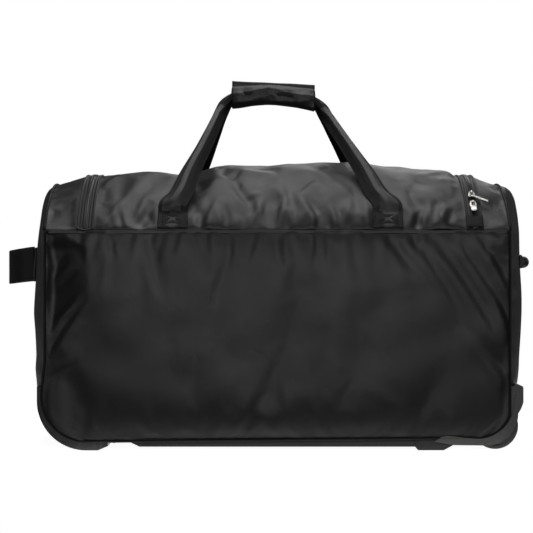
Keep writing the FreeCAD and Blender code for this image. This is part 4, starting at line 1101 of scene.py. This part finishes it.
def wrap_half(name, side):
    """One padded half of the grip wrap: a closed form, crowned on its outside and flat where the halves meet."""
    x = np.linspace(WRAP_X[0], WRAP_X[-1], 33)
    low, ridge, top = (np.interp(x, WRAP_X, table) for table in (WRAP_LOW, WRAP_RIDGE, WRAP_TOP))
    if side > 0:
        ridge = low + 0.7 * (top - low)
    end = 1 - 0.16 * (np.abs((x - x.mean()) / (x[-1] - x[0]) * 2)) ** 10
    wave = unevenness(x, 0 * x, 95 + side, 0.02, 0.06, 0.0006)
    sections = []
    dents = 0.9 * MM * np.exp(-((x - 0.002) / 0.030) ** 2) * (side < 0)
    for deep, dent, b, r, t in zip(17.2 * MM * end + wave, dents, low, ridge, top):
        sections.append([
            (-1.9 * MM, b + 1.2 * MM), (-5 * MM, b), (-deep * 0.66, b + 0.6 * MM), (-deep * 0.93, b + 4.5 * MM),
            (-deep, b + (r - b) * 0.45), (-deep * 0.99 + dent, b + (r - b) * 0.74), (-deep * 0.90, r - 0.6 * MM),
            (-deep * 0.80, r + 0.8 * MM), (-deep * 0.52, r + (t - r) * 0.74), (-5 * MM, t - 0.3 * MM),
            (-1.9 * MM, t - 1.2 * MM)])
    piece = fix_normals(sweep(name, along_x(x), (0, -side, 0), (0, 0, 1), np.array(sections), BAG))
    piece.modifiers.new("round", "SUBSURF").levels = 2
    points = points_of(bake(piece))
    outer = ramp(np.abs(points[:, 1]), 0.006, 0.012)
    creases = unevenness(points[:, 0], points[:, 2] * 1.6, 141 + side, 0.014, 0.040, 0.0008)
    points[:, 1] += side * np.clip(creases, -0.0012, 0.0008) * outer
    return set_points(piece, tilt_grip(points))


def wrap_flap():
    """Closing flap of the grip wrap, standing above it."""
    x = np.linspace(WRAP_X[0] + 0.0015, WRAP_X[-1] - 0.001, 40)
    tops = 0.5228 + unevenness(x, 0 * x, 97, 0.03, 0.09, 0.0004)
    section = []
    for wave, top in zip(0.0006 * np.sin(x * 90), tops):
        section.append([(0.0018 + wave, 0.509), (0.0022 + wave, top - 0.001), (0.0032 + wave, top),
                        (0.0046 + wave, top - 0.001), (0.0050 + wave, 0.509)])
    return tilted(fix_normals(sweep("flap", along_x(x), (0, 1, 0), (0, 0, 1), np.array(section), BINDING)))


def closing_strip(name, side):
    """Flat strip of hook or loop tape on the inner face of a wrap half."""
    x = np.linspace(WRAP_X[0] + 0.004, WRAP_X[-1] - 0.004, 24)
    section = np.array([(0.5, 490), (1.75, 490), (1.75, 512.5), (0.5, 512.5)]) * MM
    return tilted(fix_normals(sweep(name, along_x(x), (0, side, 0), (0, 0, 1), section, BINDING)))


def carry_handles():
    for label, side in (("front", -1), ("back", 1)):
        strap, thread = carry_strap(f"carry_strap_{label}", side)
        stand_for(strap, "webbing", f"handle_strap_{label}")
        stand_for(thread, "webbing")
        for piece in (strap, thread):
            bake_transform(piece)
        wrap = wrap_half(f"grip_pad_{label}", side)
        if side > 0:
            wrap.data.materials.append(BINDING)
            wrap = join("grip_pad_back", [wrap, wrap_flap()])
        place(wrap, f"handle_{label}", "bag_fabric", f"grip_wrap_{label}")
        strip = "hook" if side < 0 else "loop"
        place(closing_strip(f"{strip}_tape", side), f"handle_{label}", "webbing", f"{strip}_strip")
        for spot, (low, high) in STRAPS.items():
            patch, rows = patch_piece(f"patch_{label}_{spot}", low, high, side)
            for piece in (stand_for(patch, "webbing", f"strap_patch_{label}_{spot}"), stand_for(rows, "webbing")):
                if side < 0:
                    hinge_blend(piece)
                else:
                    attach(piece, "lid")


# ---------------------------------------------------------------- end loop and end grip

def end_loop():
    """Wide webbing loop on the left end, its outer end hanging a little, and its rows of thread. The pads that hold it
    are made by end_pads().
    """
    line = smooth_line([(-0.3350, -0.043), (-0.3400, -0.038), (-0.3540, -0.0235), (-0.3655, -0.017), (-0.3735, -0.010),
                        (-0.3765, 0.0), (-0.3735, 0.010), (-0.3655, 0.017), (-0.3540, 0.0235), (-0.3400, 0.038),
                        (-0.3350, 0.043)], 60)
    reach = np.clip((-0.335 - line[:, 0]) / 0.042, 0, 1)
    path = np.stack([line[:, 0], line[:, 1], 0.2568 - 0.0052 * reach ** 1.3], axis=1)
    along = tangents(path)
    up = unit(np.array([(0, 0, 1.0)]) - along * along[:, 2:])
    outward = np.cross(along, up)
    shares = np.linspace(-1, 1, 13)
    section = []
    for r in reach:
        half = (0.0250 - 0.0008 * r)
        thick = np.where(np.abs(shares) > 0.84, 1.35, 1.1) * MM
        thick[[0, -1]] = 0.6 * MM
        top = np.stack([shares * half, thick], axis=1)
        section.append(np.vstack([top, (top * np.array([1, -1]))[::-1]]))
    loop = sweep("end_loop", path, up, outward, np.array(section), BINDING)
    place(fix_normals(loop), "root", "webbing", "pull_strap")
    rows = [(path + up * s * 0.0225 + outward * 1.35 * MM * side, outward * side) for s in (-1, 1) for side in (-1, 1)]
    place(stitches("end_loop_stitches", rows, THREAD), "root", "webbing")


def bulge_at(z, side):
    """How far the middle of an end panel stands out at a height."""
    table = LEFT_BULGE if side < 0 else RIGHT_BULGE
    return np.interp(z, table[:, 0], table[:, 1]) * MM


def end_bulge(y, z, side):
    """X of an end panel's surface."""
    return (SEAM_LEFT if side < 0 else SEAM_RIGHT) + side * bulge_at(z, side) * (1 - np.abs(y / HALF_DEPTH) ** 2.2)


def end_pads(name, side, spans, low, high, node):
    """Squares of webbing sewn to an end of the bag, with their box stitches."""
    pads, rows = [], []
    for start, stop in spans:
        def at(u, v, lift):
            y, z = (start + stop) / 2 + u * (stop - start) / 2, (low + high) / 2 + v * (high - low) / 2
            return end_bulge(y, z, side) + side * lift, y, z

        u, v = np.meshgrid(np.linspace(-1, 1, 13), np.linspace(-1, 1, 17))
        x, y, z = at(u, v, (3.4 - 1.0 * np.maximum(np.abs(u), np.abs(v)) ** 10) * MM)
        pads.append(sheet("pad", (x, y, z), (y, z), material=WEBBING, wall=2.6 * MM, lining=None))
        rows += [(np.stack(at(u, v, 3.5 * MM), axis=1), (side, 0, 0)) for u, v in box_rows(12, 0.76, 0.8)]
    place(join(name, pads), "root", "webbing", node)
    place(stitches(f"{name}_stitches", rows, THREAD), "root", "webbing")


def grip_line(y):
    """Centre line of the end grip, which comes in towards the body at its ends."""
    x = 0.3695 - 0.0105 * ramp(np.abs(y), 0.055, 0.086)
    return np.stack([x, y, 0.260 - 0.0012 * (1 - (y / 0.09) ** 2)], axis=1)


def grip_sweep(name, y, thin, wide, material):
    section = circle(20) * np.stack([thin, wide], axis=1)[:, None]
    piece = fix_normals(sweep(name, grip_line(y), (1, 0, 0), (0, 0, 1), section, material))
    piece.modifiers.new("round", "SUBSURF").levels = 1
    return bake(piece)


def end_grip():
    """Rolled grip, cloth sewn round a cord, and the flat webbing that runs out of each of its ends."""
    y = np.concatenate([[-0.0630, -0.0620, -0.0600, -0.0575], np.linspace(-0.054, 0.054, 31),
                        [0.0575, 0.0600, 0.0620, 0.0630]])
    ending = np.sqrt(1 - (np.maximum(np.abs(y) - 0.054, 0) / 0.0095) ** 2)
    radius = 0.0085 * ending * (1 + 0.03 * np.sin(y * 700))
    roll = grip_sweep("end_grip_roll", y, radius, radius, BAG)
    place(roll, "grip_right", "webbing", "end_grip")
    for label, side in (("front", -1), ("back", 1)):
        out = np.linspace(0.056, 0.088, 14)
        wide = np.interp(out, (0.056, 0.066, 0.088), (0.0062, 0.0082, 0.0095))
        tab = grip_sweep(f"end_grip_tab_{label}", side * out, np.full(14, 0.0014), wide, WEBBING)
        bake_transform(tab)


def release_coil():
    """Spring behind the release button. The real spring flattens as the button goes in, but this coil is built at rest.
    """
    low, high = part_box("button_spring")
    wire, radius, height = 0.45 * MM, 2.6 * MM, 0.031
    turn = np.linspace(0, 6 * math.pi, 73)
    path = np.stack([np.linspace(low[0] + wire, high[0] - wire, 73), radius * np.cos(turn),
                     height + radius * np.sin(turn)], axis=1)
    coil_piece = place(tube("release_coil", path, wire, STEEL, 8), "trolley", "steel", "button_spring")
    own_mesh(coil_piece)


# ---------------------------------------------------------------- stage

def studio():
    """Camera, soft lights, a pale floor and a white surround."""
    scene = bpy.context.scene
    camera = bpy.data.cameras.new("camera")
    camera.lens, camera.sensor_width = 127.7, 36
    viewer = link("camera", camera)
    viewer.location, viewer.rotation_euler = (0, -2.775, 0.253), (math.radians(90), 0, 0)
    scene.camera = viewer
    for name, spot, target, size, power in (
            ("overhead", (0.08, 0.10, 1.5), (0.05, 0, 0.35), (1.1, 0.9), 9.0),
            ("key", (0.18, -2.5, 0.72), (0.05, 0, 0.25), (0.4, 0.5), 16),
            ("rear", (0.45, 2.0, 1.5), (0.05, 0, 0.3), (1.1, 0.7), 6),
            ("left", (-2.2, 0.3, 0.9), (0, 0, 0.2), (0.8, 0.8), 4),
            ("right", (2.2, 0.3, 0.9), (0, 0, 0.2), (0.8, 0.8), 4)):
        light = bpy.data.lights.new(name, "AREA")
        light.shape, light.energy = "RECTANGLE", power
        light.size, light.size_y = size
        lamp = link(name, light)
        lamp.location = spot
        lamp.rotation_euler = (Vector(target) - Vector(spot)).to_track_quat("-Z", "Y").to_euler()

    world = bpy.data.worlds.new("studio")
    world.use_nodes = True
    nodes, links = world.node_tree.nodes, world.node_tree.links
    seen = nodes.new("ShaderNodeLightPath").outputs["Is Camera Ray"]
    strength = nodes.new("ShaderNodeMapRange")
    strength.inputs["To Min"].default_value = 0.04
    strength.inputs["To Max"].default_value = 1.0
    links.new(seen, strength.inputs["Value"])
    links.new(strength.outputs["Result"], nodes["Background"].inputs["Strength"])
    nodes["Background"].inputs["Color"].default_value = (1, 1, 1, 1)
    scene.world = world

    paint = Shade("studio_floor")
    finish = paint.set(Base_Color=paint.tint(paint.noise(3.0), 0.60, 0.64), Roughness=0.9, Specular_IOR_Level=0.1,
                       Emission_Color=(1, 1, 1, 1), Emission_Strength=0.93)
    wide, near, far = 0.60, -0.21, 0.50
    floor = new_piece("studio_floor", [(-wide, near, 0), (wide, near, 0), (wide, far, 0), (-wide, far, 0)],
                      [(0, 1, 2, 3)], finish)
    scene.view_settings.view_transform = "Standard"


finish_cad_nodes()
soft_body()
zipper()
garage()
zip_foot_lip()
sliders()
carry_handles()
end_loop()
end_pads("end_loop_pads", -1, ((0.040, 0.064), (-0.064, -0.040)), 0.231, 0.281, "pull_strap_anchors")
end_grip()
release_coil()
end_pads("end_grip_pads", 1, ((0.084, 0.104), (-0.104, -0.084)), 0.250, 0.270, "end_grip_anchors")
studio()
